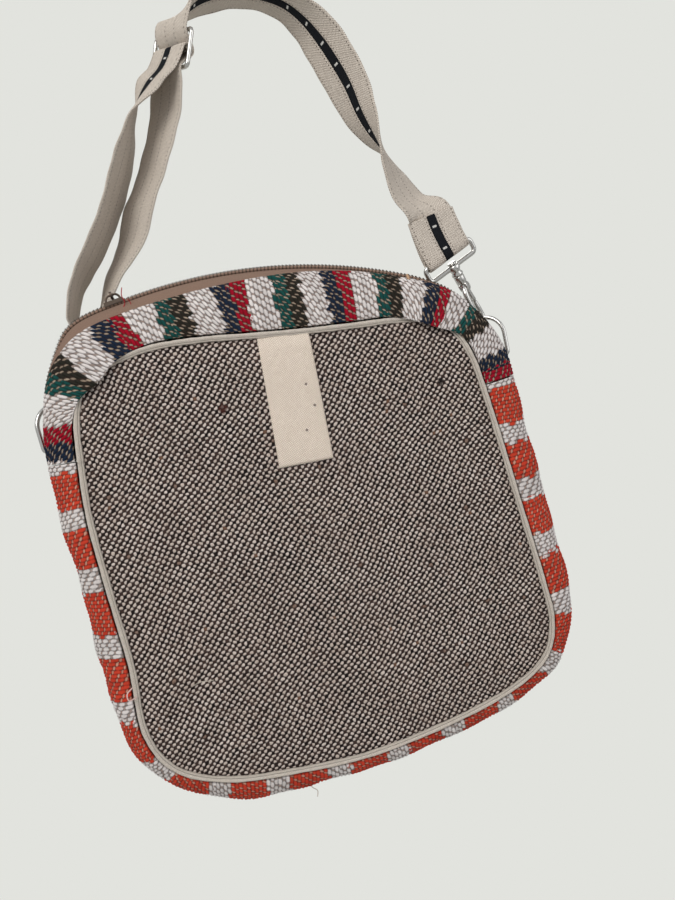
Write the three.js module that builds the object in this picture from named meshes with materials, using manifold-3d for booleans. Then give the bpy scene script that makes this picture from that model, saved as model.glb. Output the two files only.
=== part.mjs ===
// A hand-woven wool shoulder bag, empty and zipped shut, hanging from its linen strap.
// Millimetres, +Z up, the bag's front faces -Y. The bag is drawn about the middle of its front
// panel, and at the end everything is moved so that the origin is where the strap is held up.

import * as THREE from 'three';
import { mergeVertices } from 'three/addons/utils/BufferGeometryUtils.js';
import Module from 'manifold-3d';

const wasm = await Module();
wasm.setup();

// Driving dimensions
const HALF_DEPTH_TOP = 20;     // from the middle of the gusset to the piping, at z = 150
const DEPTH_GROWTH = 7 / 295;  // the empty bag hangs a little deeper at its foot
const CLOTH = 3;               // wool cloth with its backing
const PANEL = 2.4;             // tweed panel
const TAPE = 1.2;              // zip tape
const PIPING_R = 2.8;
const GAP = 0.3;               // between pieces that touch
const RIDGE_X = -30;           // the zip lies on one arc about this point
const RIDGE_Z = -157;
const RIDGE_R = 354;
const STRAP_W = 36;
const STRAP_T = 2;
const GROOVE_W = 7;            // slot in the strap's inner face, with the black inlay in it
const GROOVE_D = 0.9;
const INLAY_W = 6.4;
const INLAY_T = 0.5;
const RING_R = 1.6;            // wire of the D-rings
const RING_HALF = 15;
const RING_H = 31;
const LOOP_R = 1.8;            // wire of the swivel loops
const LOOP_HALF = 20.6;
const LOOP_H = 10.6;
const HOOK_LENGTH = 56;        // from the strap's bar to the wire of the ring
const HOOK_R = 2.1;
const SLIDE_HALF = 20.6;
const SLIDE_PITCH = 12;        // between the bars of the strap slide
const HOLD = new THREE.Vector3(30, 10, 384.4);   // underside of the strap where it is held

const rad = THREE.MathUtils.degToRad;
const v3 = (x, y, z) => new THREE.Vector3(x, y, z);
const ridge = (angle) => [
  RIDGE_X + RIDGE_R * Math.sin(rad(angle)),
  RIDGE_Z + RIDGE_R * Math.cos(rad(angle)),
];

// Round the bag, clockwise from the left joint of the two gussets:
// the piping seam's x and z, then x and z of the middle of the gusset.
const ROUND = [
  [-135.5, 96, -160, 98],
  [-132, 120, -157, 122],
  [-126, 137, -148.5, 150],
  [-115, 146.5, -136.5, 170],
  [-100, 153.5, ...ridge(-14.5)],
  [-74, 157.3, ...ridge(-8.5)],
  [-42, 155.3, ...ridge(-2.5)],
  [-8, 150.5, ...ridge(3.5)],
  [26, 146, ...ridge(9.5)],
  [60, 142.5, ...ridge(15.5)],
  [92, 139.5, ...ridge(21.5)],
  [115, 133.5, ...ridge(27.5)],
  [128.5, 122.5, 151, 139],
  [135.5, 104, 165, 114],
  [138.5, 82, 170, 84],
  [142, 40, 171, 40],
  [145.5, -10, 173, -10],
  [149, -60, 176, -62],
  [149, -92, 171.5, -97],
  [137, -116, 153, -131],
  [106, -131, 111, -149],
  [56, -140.5, 58, -159.5],
  [0, -144.5, 0, -163],
  [-52, -140, -54, -162],
  [-95, -132, -100, -154.5],
  [-126, -115, -139, -127],
  [-139, -86, -157, -90],
  [-137, -40, -159.5, -40],
  [-138.5, 10, -159.5, 10],
  [-139, 58, -160.5, 58],
];
const LEFT_JOINT = 0;
const RIGHT_JOINT = 14;
const STATIONS = ROUND.length;

// Materials
const finish = (color, roughness, metalness = 0) =>
  new THREE.MeshStandardMaterial({ color, roughness, metalness });
const tweed = () => finish(0x7a6f68, 0.95);
const stripedWool = () => finish(0x9c9c98, 0.95);
const orangeWool = () => finish(0xc4492a, 0.95);
const linen = () => finish(0xcfc3b2, 0.9);
const blackBand = () => finish(0x1d1e20, 0.9);
const zipTape = () => finish(0x8a6f62, 0.85);
const bronze = () => finish(0x5a4a3c, 0.35, 1);
const nickel = () => finish(0xc8c6c2, 0.22, 1);

// Meshes

const root = new THREE.Group();
const bag = new THREE.Group();
bag.position.copy(HOLD).negate();
root.add(bag);

// Shares the vertices of a closed geometry and turns its faces outwards.
function closed(geometry) {
  geometry.deleteAttribute('normal');
  geometry.deleteAttribute('uv');
  const merged = mergeVertices(geometry, 1e-4);
  const p = merged.getAttribute('position');
  const index = merged.getIndex().array;
  const [a, b, c] = [v3(0, 0, 0), v3(0, 0, 0), v3(0, 0, 0)];
  let volume = 0;
  for (let i = 0; i < index.length; i += 3) {
    a.fromBufferAttribute(p, index[i]);
    b.fromBufferAttribute(p, index[i + 1]);
    c.fromBufferAttribute(p, index[i + 2]);
    volume += a.dot(b.cross(c));
  }
  if (volume < 0) {
    for (let i = 0; i < index.length; i += 3) {
      [index[i + 1], index[i + 2]] = [index[i + 2], index[i + 1]];
    }
  }
  merged.computeVertexNormals();
  return merged;
}

function addMesh(name, geometry, material, parent = bag) {
  const mesh = new THREE.Mesh(closed(geometry), material);
  mesh.name = name;
  parent.add(mesh);
  return mesh;
}

// Skins a row of rings. In each ring, point j lies across from point n - 1 - j.
function loft(rings, isClosed = false) {
  const n = rings[0].length;
  const index = [];
  const quad = (a, b, c, d) => index.push(a, b, c, a, c, d);
  const spans = isClosed ? rings.length : rings.length - 1;
  for (let i = 0; i < spans; i++) {
    const here = i * n;
    const next = ((i + 1) % rings.length) * n;
    for (let j = 0; j < n; j++) {
      const k = (j + 1) % n;
      quad(here + j, here + k, next + k, next + j);
    }
  }
  if (!isClosed) {
    const last = (rings.length - 1) * n;
    for (let j = 0; j < n / 2 - 1; j++) {
      quad(n - 1 - j, n - 2 - j, j + 1, j);
      quad(last + j, last + j + 1, last + n - 2 - j, last + n - 1 - j);
    }
  }
  const geometry = new THREE.BufferGeometry();
  const flat = rings.flat().flatMap((p) => [p.x, p.y, p.z]);
  geometry.setAttribute('position', new THREE.Float32BufferAttribute(flat, 3));
  geometry.setIndex(index);
  return geometry;
}

const solid = (geometry) => {
  const g = closed(geometry);
  return new wasm.Manifold(new wasm.Mesh({
    numProp: 3,
    vertProperties: new Float32Array(g.getAttribute('position').array),
    triVerts: new Uint32Array(g.getIndex().array),
  }));
};

const fromSolid = (manifold) => {
  const mesh = manifold.getMesh();
  const geometry = new THREE.BufferGeometry();
  geometry.setAttribute('position', new THREE.BufferAttribute(mesh.vertProperties, 3));
  geometry.setIndex(new THREE.BufferAttribute(mesh.triVerts, 1));
  return geometry;
};

// A cylinder along local Z between two heights.
function rod(radius, low, high, sides = 16) {
  const geometry = new THREE.CylinderGeometry(radius, radius, high - low, sides);
  return geometry.rotateX(Math.PI / 2).translate(0, 0, (low + high) / 2);
}

// A cylinder along local Y, centred at x and z.
const crossRod = (radius, half, x, z, sides = 16) =>
  new THREE.CylinderGeometry(radius, radius, 2 * half, sides).translate(x, 0, z);

// A round wire along a closed flat path in local X and Z.
function wireRing(points, radius, sides = 8) {
  const n = points.length;
  const rings = points.map((p, i) => {
    const before = points[(i + n - 1) % n];
    const after = points[(i + 1) % n];
    const along = v3(after[0] - before[0], 0, after[1] - before[1]).normalize();
    const across = v3(along.z, 0, -along.x);
    return Array.from({ length: sides }, (_, j) => {
      const a = (2 * Math.PI * (j + 0.5)) / sides;
      return v3(p[0], 0, p[1])
        .addScaledVector(across, radius * Math.cos(a))
        .addScaledVector(v3(0, 1, 0), radius * Math.sin(a));
    });
  });
  return loft(rings, true);
}

// Corner arc of a flat path, as points about a centre.
function arc(cx, cz, radius, from, to, steps) {
  return Array.from({ length: steps + 1 }, (_, i) => {
    const a = rad(from + ((to - from) * i) / steps);
    return [cx + radius * Math.cos(a), cz + radius * Math.sin(a)];
  });
}

function placed(origin, x, z) {
  const group = new THREE.Group();
  const zAxis = z.clone().normalize();
  const yAxis = zAxis.clone().cross(x).normalize();
  const xAxis = yAxis.clone().cross(zAxis);
  group.matrix.makeBasis(xAxis, yAxis, zAxis).setPosition(origin);
  group.matrix.decompose(group.position, group.quaternion, group.scale);
  bag.add(group);
  return group;
}

// The bag's form

const seamCurve = new THREE.CatmullRomCurve3(
  ROUND.map(([x, z]) => v3(x, 0, z)), true, 'catmullrom', 0.5);
const middleCurve = new THREE.CatmullRomCurve3(
  ROUND.map(([, , x, z]) => v3(x, 0, z)), true, 'catmullrom', 0.5);
const halfDepth = (z) => HALF_DEPTH_TOP + (150 - z) * DEPTH_GROWTH;

// Where the gusset stands at a station: its seam, the way out to its middle, and how far.
function gussetAt(station) {
  const u = ((station / STATIONS) % 1 + 1) % 1;
  const seam = seamCurve.getPoint(u);
  const out = middleCurve.getPoint(u).sub(seam);
  const reach = out.length();
  return { seam, out: out.normalize(), reach, depth: halfDepth(seam.z) };
}

// A point of the gusset: a quarter ellipse from the front seam at 0 degrees to the middle at
// 90, and on to the rear seam at 180, drawn in by the wall's thickness.
function gussetPoint(g, angle, inset) {
  return g.seam.clone()
    .addScaledVector(g.out, (g.reach - inset) * Math.sin(angle))
    .add(v3(0, -(g.depth - inset) * Math.cos(angle), 0));
}

const edgeAngle = (g) => Math.asin((PIPING_R + GAP) / (g.reach - CLOTH));
const angleAtY = (g, y) => Math.acos(-y / g.depth);

// A strip of the gusset between two stations and two angles.
function gussetStrip(fromStation, toStation, steps, fromAngle, toAngle, across, thickness) {
  const rings = [];
  for (let i = 0; i <= steps; i++) {
    const station = fromStation + ((toStation - fromStation) * i) / steps;
    const g = gussetAt(station);
    const [a, b] = [fromAngle(g, station), toAngle(g, station)];
    const angles = Array.from({ length: across + 1 }, (_, j) => a + ((b - a) * j) / across);
    rings.push([
      ...angles.map((angle) => gussetPoint(g, angle, 0)),
      ...angles.reverse().map((angle) => gussetPoint(g, angle, thickness)),
    ]);
  }
  return loft(rings);
}

// The striped strips leave the zip tape free along the top and close over it at the sides.
function bandEdge(g, station) {
  const along = THREE.MathUtils.clamp(station / RIGHT_JOINT, 0, 1);
  const top = THREE.MathUtils.smoothstep(Math.sin(Math.PI * along), 0.35, 0.9);
  return rad(76 - 22 * top);
}
const mirrored = (angle) => (g, station) => Math.PI - angle(g, station);
const tapeStart = (g, station) => bandEdge(g, station) + GAP / g.depth;
const tapeEnd = (g) => angleAtY(g, -2.3);

const JOIN = 0.012;   // in stations, about 0.3 mm
const upperSpan = [LEFT_JOINT + JOIN, RIGHT_JOINT - JOIN, 44];
addMesh('gusset_upper_front',
  gussetStrip(...upperSpan, edgeAngle, bandEdge, 4, CLOTH), stripedWool());
addMesh('gusset_upper_rear',
  gussetStrip(...upperSpan, mirrored(edgeAngle), mirrored(bandEdge), 4, CLOTH), stripedWool());
addMesh('zip_tape_front',
  gussetStrip(...upperSpan, tapeStart, tapeEnd, 2, TAPE), zipTape());
addMesh('zip_tape_rear',
  gussetStrip(...upperSpan, mirrored(tapeStart), mirrored(tapeEnd), 2, TAPE), zipTape());
addMesh('gusset_lower',
  gussetStrip(RIGHT_JOINT + JOIN, STATIONS - JOIN, 48, edgeAngle, mirrored(edgeAngle), 8, CLOTH),
  orangeWool());

// One row of zip teeth each side of the slider's blade, along the middle of the gusset.
function teethRow(side) {
  const rings = [];
  for (let i = 0; i <= 44; i++) {
    const g = gussetAt(THREE.MathUtils.lerp(upperSpan[0], upperSpan[1], i / 44));
    const at = (y, height) =>
      g.seam.clone().addScaledVector(g.out, g.reach + height).add(v3(0, side * y, 0));
    rings.push([at(0.6, 1.8), at(2, 1.8), at(2, -1.5), at(0.6, -1.5)]);
  }
  return loft(rings);
}
addMesh('zip_teeth_front', teethRow(-1), bronze());
addMesh('zip_teeth_rear', teethRow(1), bronze());

// Piping: a round cord in a linen sleeve, sewn into each panel seam.
function pipingRing(side) {
  const rings = Array.from({ length: 72 }, (_, i) => {
    const g = gussetAt((STATIONS * i) / 72);
    return Array.from({ length: 8 }, (_, j) => {
      const a = (2 * Math.PI * (j + 0.5)) / 8;
      return g.seam.clone()
        .addScaledVector(g.out, PIPING_R * Math.cos(a))
        .add(v3(0, side * (g.depth + PIPING_R * Math.sin(a)), 0));
    });
  });
  return loft(rings, true);
}
addMesh('piping_front', pipingRing(-1), linen());
addMesh('piping_rear', pipingRing(1), linen());

// A panel: a flat plate inside the piping, leaning with the bag's depth.
function panel(side) {
  const inset = PIPING_R + GAP;
  const outline = Array.from({ length: 72 }, (_, i) => {
    const u = i / 72;
    const p = seamCurve.getPoint(u);
    const t = seamCurve.getTangent(u);
    return new THREE.Vector2(p.x + t.z * inset, p.z - t.x * inset);
  });
  const plate = new THREE.ExtrudeGeometry(new THREE.Shape(outline),
    { depth: PANEL, bevelEnabled: false });
  const p = plate.getAttribute('position');
  for (let i = 0; i < p.count; i++) {
    const z = p.getY(i);
    p.setXYZ(i, p.getX(i), side * (halfDepth(z) + p.getZ(i) - PANEL / 2), z);
  }
  return plate;
}
addMesh('panel_front', panel(-1), tweed());
addMesh('panel_rear', panel(1), tweed());

// Linen tab patch, sewn flat on the front panel under the top piping.
const PATCH = [[-6.5, 141.5], [28, 138], [24, 59], [-12.5, 61]];
{
  const shape = new THREE.Shape(PATCH.map(([x, z]) => new THREE.Vector2(x, z)));
  const plate = new THREE.ExtrudeGeometry(shape, { depth: 1.2, bevelEnabled: false });
  const p = plate.getAttribute('position');
  for (let i = 0; i < p.count; i++) {
    const z = p.getY(i);
    p.setXYZ(i, p.getX(i), -(halfDepth(z) + PANEL / 2 + GAP + p.getZ(i)), z);
  }
  addMesh('patch_tab', plate, linen());
}

// Zip slider and puller. Local X runs along the zip, Z away from the bag.
const SLIDER_STATION = 4.75;
const sliderPlace = middleCurve.getPoint(SLIDER_STATION / STATIONS);
const zipWay = middleCurve.getTangent(SLIDER_STATION / STATIONS);
const slider = placed(sliderPlace, zipWay, zipWay.clone().cross(v3(0, 1, 0)));
const block = (x, y, z, px, py, pz) => new THREE.BoxGeometry(x, y, z).translate(px, py, pz);
const BRIDGE_Z = 7.4;
{
  const bridgePath = new THREE.CatmullRomCurve3([
    v3(-4.8, 0, 2.8), v3(-4.6, 0, 5.4), v3(-2.6, 0, BRIDGE_Z), v3(0, 0, BRIDGE_Z),
    v3(2.6, 0, BRIDGE_Z), v3(4.6, 0, 5.4), v3(4.8, 0, 2.8)]);
  const bridgeSection = new THREE.Shape().absarc(0, 0, 0.8, 0, 2 * Math.PI);
  const bridge = new THREE.ExtrudeGeometry(bridgeSection,
    { steps: 12, curveSegments: 4, extrudePath: bridgePath, bevelEnabled: false });
  const body = solid(block(13, 7.6, 1.2, 0, 0, 2.8))
    .add(solid(block(13, 1.2, 2.6, 0, 3.2, 2)))
    .add(solid(block(13, 1.2, 2.6, 0, -3.2, 2)))
    .add(solid(block(3, 0.5, 7, -4, 0, -0.7)))
    .add(solid(block(13, 7.6, 1.2, 0, 0, -4.2)))
    .add(solid(bridge));
  addMesh('zip_slider', fromSolid(body), bronze(), slider);
}
const PULL_ANGLE = -33;   // it lies over the shoulder of the rear tape
{
  const shape = new THREE.Shape();
  shape.absarc(0, 0, 2.4, rad(30), rad(330));
  shape.lineTo(8, -1.2);
  shape.lineTo(12, -3.2);
  shape.absarc(24, 0, 3.4, rad(-70), rad(70));
  shape.lineTo(12, 3.2);
  shape.lineTo(8, 1.2);
  shape.holes.push(new THREE.Path().absarc(0, 0, 1.2, 0, 2 * Math.PI, true));
  const plate = new THREE.ExtrudeGeometry(shape,
    { depth: 1.6, curveSegments: 14, bevelEnabled: false });
  plate.translate(0, 0, -0.8);
  const pull = new THREE.Group();
  pull.position.set(0, 0, BRIDGE_Z);
  pull.matrix.makeBasis(
    v3(0, Math.cos(rad(PULL_ANGLE)), Math.sin(rad(PULL_ANGLE))),
    v3(0, -Math.sin(rad(PULL_ANGLE)), Math.cos(rad(PULL_ANGLE))),
    v3(1, 0, 0));
  pull.quaternion.setFromRotationMatrix(pull.matrix);
  slider.add(pull);
  addMesh('zip_puller', plate, bronze(), pull);
}

// D-ring, its linen tab, and the swivel snap hook clipped to it, on each side.
const ringPath = [
  ...arc(RING_HALF - 3, 3, 3, -90, 0, 3),
  ...arc(0, RING_H - RING_HALF, RING_HALF, 0, 180, 16),
  ...arc(-RING_HALF + 3, 3, 3, 180, 270, 3),
];
const loopPath = [
  ...arc(LOOP_HALF - 3, -LOOP_H + 3, 3, -90, 0, 3),
  ...arc(LOOP_HALF - 3, -3, 3, 0, 90, 3),
  ...arc(-LOOP_HALF + 3, -3, 3, 90, 180, 3),
  ...arc(-LOOP_HALF + 3, -LOOP_H + 3, 3, 180, 270, 3),
];
const COLLAR_TOP = -LOOP_H + LOOP_R;
const COLLAR_FOOT = -LOOP_H - 7;
const EYE_HALF = 6.3;
const EYE_Z = -HOOK_LENGTH + 0.2;
const TIP_Z = -44;
const PIVOT = { x: 3.2, z: -29.5 };

function swivelLoop() {
  return fromSolid(solid(wireRing(loopPath, LOOP_R))
    .add(solid(rod(4.4, COLLAR_FOOT, COLLAR_TOP, 20)))
    .subtract(solid(rod(2.2, COLLAR_FOOT - 1, COLLAR_TOP + 1, 16))));
}

function hookBody() {
  const bend = arc(0, EYE_Z, EYE_HALF, 180, 360, 6).map(([x, z]) => v3(x, 0, z));
  const path = new THREE.CatmullRomCurve3([
    v3(0, 0, -24), v3(-1.6, 0, -28), v3(-5, 0, -33), v3(-EYE_HALF, 0, -40),
    v3(-EYE_HALF, 0, -48), ...bend, v3(EYE_HALF, 0, -49), v3(EYE_HALF, 0, TIP_Z)]);
  const section = new THREE.Shape().absarc(0, 0, HOOK_R, 0, 2 * Math.PI);
  const wire = new THREE.ExtrudeGeometry(section,
    { steps: 28, curveSegments: 4, extrudePath: path, bevelEnabled: false });
  const cheek = new THREE.Shape();
  cheek.absarc(PIVOT.x, PIVOT.z, 2.3, rad(-100), rad(60));
  cheek.lineTo(1.5, -24.5);
  cheek.lineTo(-2.2, -24.5);
  cheek.lineTo(-3.2, -30);
  const cheeks = [1.75, -3.15].map((y) => new THREE.ExtrudeGeometry(cheek,
    { depth: 1.4, curveSegments: 8, bevelEnabled: false })
    .rotateX(Math.PI / 2).translate(0, y + 1.4, 0));
  return fromSolid(solid(rod(3.4, COLLAR_TOP + 0.4, COLLAR_TOP + 2, 20))
    .add(solid(rod(1.85, -19, COLLAR_TOP + 1, 12)))
    .add(solid(rod(3.7, -25, COLLAR_FOOT - 0.4, 20)))
    .add(solid(wire))
    .add(solid(cheeks[0]))
    .add(solid(cheeks[1]))
    .subtract(solid(crossRod(1.2, 5, PIVOT.x, PIVOT.z, 12))));
}

// The gate is a flat lever between the cheeks, from its pivot down to the hook's tip.
function hookGate() {
  const shape = new THREE.Shape();
  shape.moveTo(EYE_HALF - 1.8, TIP_Z + 0.4);
  shape.lineTo(EYE_HALF + 1.6, TIP_Z + 1.6);
  shape.absarc(PIVOT.x, PIVOT.z, 2.2, rad(15), rad(165));
  shape.holes.push(new THREE.Path().absarc(PIVOT.x, PIVOT.z, 1.2, 0, 2 * Math.PI, true));
  return new THREE.ExtrudeGeometry(shape, { depth: 2.8, curveSegments: 16, bevelEnabled: false })
    .rotateX(Math.PI / 2).translate(0, 1.4, 0);
}

// The tab wraps the ring's bar; its tail lies on the gusset down to the joint.
function ringTab(tail) {
  const shape = new THREE.Shape();
  shape.absarc(0, 0, 3.8, rad(-60), rad(197));
  shape.lineTo(-3.7, -tail);
  shape.lineTo(-1.1, -tail);
  shape.lineTo(-1.1, -4.2);
  shape.holes.push(new THREE.Path().absarc(0, 0, RING_R + 0.35, 0, 2 * Math.PI, true));
  return new THREE.ExtrudeGeometry(shape, { depth: 24, curveSegments: 16, bevelEnabled: false })
    .translate(0, 0, -12);
}

// station and back are where the ring's bar lies, behind the zip; tail is the length of its
// tab, lean the way up the ring, pull the way from the ring to the strap, and bar the way along
// the strap's bar.
const SIDES = [
  { side: 'left', station: 0.38, back: 17.4, tail: 7, lean: v3(0.08, 0.12, 0.97),
    pull: v3(0.5, 0.2, 0.85), bar: v3(0.05, 1, 0) },
  { side: 'right', station: 13.48, back: 14.5, tail: 13, lean: v3(-0.14, 0.2, 0.97),
    pull: v3(-0.38, -0.3, 0.87), bar: v3(0.92, 0, 0.39) },
];
const barAt = {};
const barWay = {};
for (const s of SIDES) {
  const g = gussetAt(s.station);
  const angle = angleAtY(g, s.back);
  const out = g.out.clone().multiplyScalar(Math.sin(angle) / g.reach)
    .add(v3(0, -Math.cos(angle) / g.depth, 0)).normalize();
  const up = v3(0, 0, 1).addScaledVector(out, -out.z).normalize();
  const width = up.clone().cross(out).normalize();
  const lean = s.lean.clone().addScaledVector(width, -s.lean.dot(width)).normalize();
  const bar = gussetPoint(g, angle, 0).addScaledVector(out, 4.9);
  const ring = placed(bar, width, lean);
  addMesh(`d_ring_${s.side}`, wireRing(ringPath, RING_R), nickel(), ring);

  const tab = new THREE.Group();
  tab.matrix.makeBasis(out, up, out.clone().cross(up));
  tab.quaternion.setFromRotationMatrix(tab.matrix);
  tab.position.copy(bar);
  bag.add(tab);
  addMesh(`ring_tab_${s.side}`, ringTab(s.tail), linen(), tab);

  const pull = s.pull.clone().normalize();
  const ringTop = bar.clone().addScaledVector(lean, RING_H);
  const strapBar = ringTop.clone().addScaledVector(pull, HOOK_LENGTH);
  barAt[s.side] = strapBar;
  const loopGroup = placed(strapBar, s.bar, pull);
  barWay[s.side] = v3(1, 0, 0).applyQuaternion(loopGroup.quaternion);
  addMesh(`swivel_loop_${s.side}`, swivelLoop(), nickel(), loopGroup);
  const hookX = width.clone().cross(pull).normalize();
  const hookGroup = placed(strapBar, hookX, pull);
  addMesh(`snap_hook_${s.side}`, hookBody(), nickel(), hookGroup);
  addMesh(`hook_gate_${s.side}`, hookGate(), nickel(), hookGroup);
  addMesh(`gate_pin_${s.side}`, crossRod(0.9, 3.1, PIVOT.x, PIVOT.z, 12), nickel(), hookGroup);
}

// Strap slide: a frame with a middle bar. Local X runs across the strap, Z along it, and Y is
// the way to the strap's plain face.
const SLIDE_AT = v3(-14.5, 9, 352);
const SLIDE_ALONG = v3(0.371, -0.1, 0.92).normalize();
const SLIDE_ACROSS = v3(-0.66, 0.75, 0);
const slide = placed(SLIDE_AT, SLIDE_ACROSS, SLIDE_ALONG);
{
  const path = [
    ...arc(SLIDE_HALF - 2.5, -SLIDE_PITCH + 2.5, 2.5, -90, 0, 3),
    ...arc(SLIDE_HALF - 2.5, SLIDE_PITCH - 2.5, 2.5, 0, 90, 3),
    ...arc(-SLIDE_HALF + 2.5, SLIDE_PITCH - 2.5, 2.5, 90, 180, 3),
    ...arc(-SLIDE_HALF + 2.5, -SLIDE_PITCH + 2.5, 2.5, 180, 270, 3),
  ];
  const bar = rod(1.3, -SLIDE_HALF, SLIDE_HALF, 12).rotateY(Math.PI / 2);
  addMesh('strap_slide', fromSolid(solid(wireRing(path, 1.5)).add(solid(bar))), nickel(), slide);
}
slide.updateMatrix();
const across = SLIDE_ACROSS.clone()
  .addScaledVector(SLIDE_ALONG, -SLIDE_ACROSS.dot(SLIDE_ALONG)).normalize();
const plainSide = SLIDE_ALONG.clone().cross(across);

// The strap: one band of linen, from its sewn end over the right loop's bar, up with a half
// turn, over the hold, down through the slide and the left loop, and back to the slide.
// Each stop has the middle of the band, then the way from one edge to the other.
const stop = (x, y, z, wx, wy, wz) => ({ at: v3(x, y, z), w: v3(wx, wy, wz) });
const atSlide = (along, out, sideways = 0) => ({
  at: SLIDE_AT.clone().addScaledVector(SLIDE_ALONG, along).addScaledVector(plainSide, out)
    .addScaledVector(across, sideways),
  w: across.clone(),
});
// Round a bar: from a starting way out of the bar, by steps of a turn about it.
function roundBar(bar, barWay, startWay, turn, steps, radius) {
  const axis = barWay.clone().normalize();
  return Array.from({ length: steps + 1 }, (_, i) => ({
    at: bar.clone().addScaledVector(
      startWay.clone().normalize().applyAxisAngle(axis, rad(turn * i / steps)), radius),
    w: axis.clone(),
  }));
}
const BAND_ROUND = LOOP_R + GAP + STRAP_T / 2;
const rightBar = barAt.right;
const leftBar = barAt.left;
const rel = (bar, dx, dy, dz, wx, wy, wz) =>
  stop(bar.x + dx, bar.y + dy, bar.z + dz, wx, wy, wz);

const STRAP_STOPS = [
  rel(rightBar, -6.6, -2.4, 29, 0.975, 0, 0.2),
  rel(rightBar, -5, -2.4, 20, 0.965, 0, 0.25),
  rel(rightBar, -2.6, -2.7, 9, 0.94, 0, 0.33),
  ...roundBar(rightBar, barWay.right, v3(0, -1, 0), 180, 4, BAND_ROUND),
  rel(rightBar, -2.4, 2.6, 9, 0.94, 0, 0.33),
  rel(rightBar, -4.6, 0.6, 20, 0.965, 0.03, 0.25),
  rel(rightBar, -7, 0.4, 32, 0.975, 0.12, 0.17),
  stop(126.8, 8, 223.5, 0.84, 0.53, 0.06),
  stop(122.4, 8.2, 234, 0.74, 0.66, 0.1),
  stop(119.4, 8.5, 246, 0.62, 0.78, -0.06),
  stop(115.2, 8.8, 262, 0.34, 0.93, 0),
  stop(109, 9, 278.5, -0.2, 0.97, 0.12),
  stop(105, 9.2, 292, -0.46, 0.85, 0.22),
  stop(101, 9.4, 311, -0.62, 0.77, 0.12),
  stop(95, 9.6, 330, -0.64, 0.75, 0.12),
  stop(89, 9.8, 345, -0.62, 0.77, 0.14),
  stop(80.5, 10, 360, -0.45, 0.88, 0.12),
  stop(68, 10, 373.5, -0.2, 0.98, 0.04),
  stop(51, 10, 382, -0.05, 1, 0),
  stop(30, 10, 385.4, 0, 1, 0),
  stop(13, 10, 383.5, -0.1, 0.99, 0),
  stop(1, 9, 377.5, -0.3, 0.94, 0.12),
  atSlide(20, 2.4),
  atSlide(12.5, 3),
  atSlide(8, 0.6),
  atSlide(4, -3.4),
  atSlide(0, -5.2),
  atSlide(-4, -3.4),
  atSlide(-8, 0.6),
  atSlide(-12.5, 3),
  atSlide(-22, 0.6),
  stop(-28.5, 14.2, 316.4, -0.66, 0.75, 0),
  stop(-38.8, 17.3, 296, -0.66, 0.75, 0),
  stop(-50.5, 20.4, 275.6, -0.66, 0.75, 0),
  stop(-61.9, 22.9, 259.6, -0.68, 0.73, 0),
  stop(-72.7, 25.7, 240.5, -0.66, 0.75, 0),
  stop(-82.3, 27.4, 228.7, -0.6, 0.8, 0),
  stop(-91.3, 29.2, 216.6, -0.42, 0.9, 0),
  rel(leftBar, 16, 1.6, 7.5, -0.16, 0.98, 0),
  rel(leftBar, 6.5, 0.4, -1, 0, 1, 0),
  ...roundBar(leftBar, barWay.left, v3(0.5, 0, -0.85), 120, 3, BAND_ROUND),
  rel(leftBar, -2.6, 0.3, 8, 0, 1, 0),
  stop(-119.5, 30.5, 211, -0.1, 0.99, 0),
  stop(-111, 28.1, 223.3, -0.2, 0.98, 0),
  stop(-101.1, 26.5, 233.7, -0.28, 0.96, 0),
  stop(-84.9, 23.3, 254.3, -0.28, 0.96, 0),
  stop(-71.6, 19.9, 275.7, -0.28, 0.96, 0),
  stop(-59.8, 16.5, 297, -0.28, 0.96, 0),
  stop(-49.6, 13.1, 318, -0.36, 0.93, 0),
  atSlide(-24, 11.5, 5),
  atSlide(-13, 6, 1),
  atSlide(-6, 4),
  ...[95, 60, 20, -20, -60, -95].map((a) =>
    atSlide(2.7 * Math.cos(rad(a)), 2.7 * Math.sin(rad(a)))),
];

const strapCurve = new THREE.CatmullRomCurve3(STRAP_STOPS.map((s) => s.at));
const LAST_STOP = STRAP_STOPS.length - 1;
// The frames of the band, closer together where it twists or bends.
const strapFrames = [];
for (let k = 0; k < LAST_STOP; k++) {
  const [from, to] = [STRAP_STOPS[k].w, STRAP_STOPS[k + 1].w];
  const bend = strapCurve.getTangent(k / LAST_STOP)
    .angleTo(strapCurve.getTangent((k + 1) / LAST_STOP));
  const count = Math.ceil(Math.max(from.angleTo(to) / 0.09, bend / 0.25, 1));
  for (let i = 0; i < count || (i === count && k === LAST_STOP - 1); i++) {
    const t = (k + i / count) / LAST_STOP;
    const way = strapCurve.getTangent(t);
    const w = from.clone().lerp(to, i / count);
    w.addScaledVector(way, -w.dot(way)).normalize();
    strapFrames.push({ at: strapCurve.getPoint(t), w, plain: w.clone().cross(way) });
  }
}
// Carries a flat section along the band: across it, and out of its plain face.
const alongStrap = (section) => loft(strapFrames.map(({ at, w, plain }) =>
  section.map(([a, b]) => at.clone().addScaledVector(w, a).addScaledVector(plain, b))));
const [hw, ht, gw] = [STRAP_W / 2, STRAP_T / 2, GROOVE_W / 2];
addMesh('strap', alongStrap([
  [-hw, ht], [-gw - 0.2, ht], [-gw, ht], [gw, ht], [gw + 0.2, ht], [hw, ht],
  [hw, -ht], [gw, -ht], [gw, GROOVE_D - ht], [-gw, GROOVE_D - ht], [-gw, -ht], [-hw, -ht],
]), linen());
const inlayTop = GROOVE_D - ht - GAP;
addMesh('strap_inlay', alongStrap([
  [-INLAY_W / 2, inlayTop], [INLAY_W / 2, inlayTop],
  [INLAY_W / 2, inlayTop - INLAY_T], [-INLAY_W / 2, inlayTop - INLAY_T],
]), blackBand());

export default root;
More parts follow.
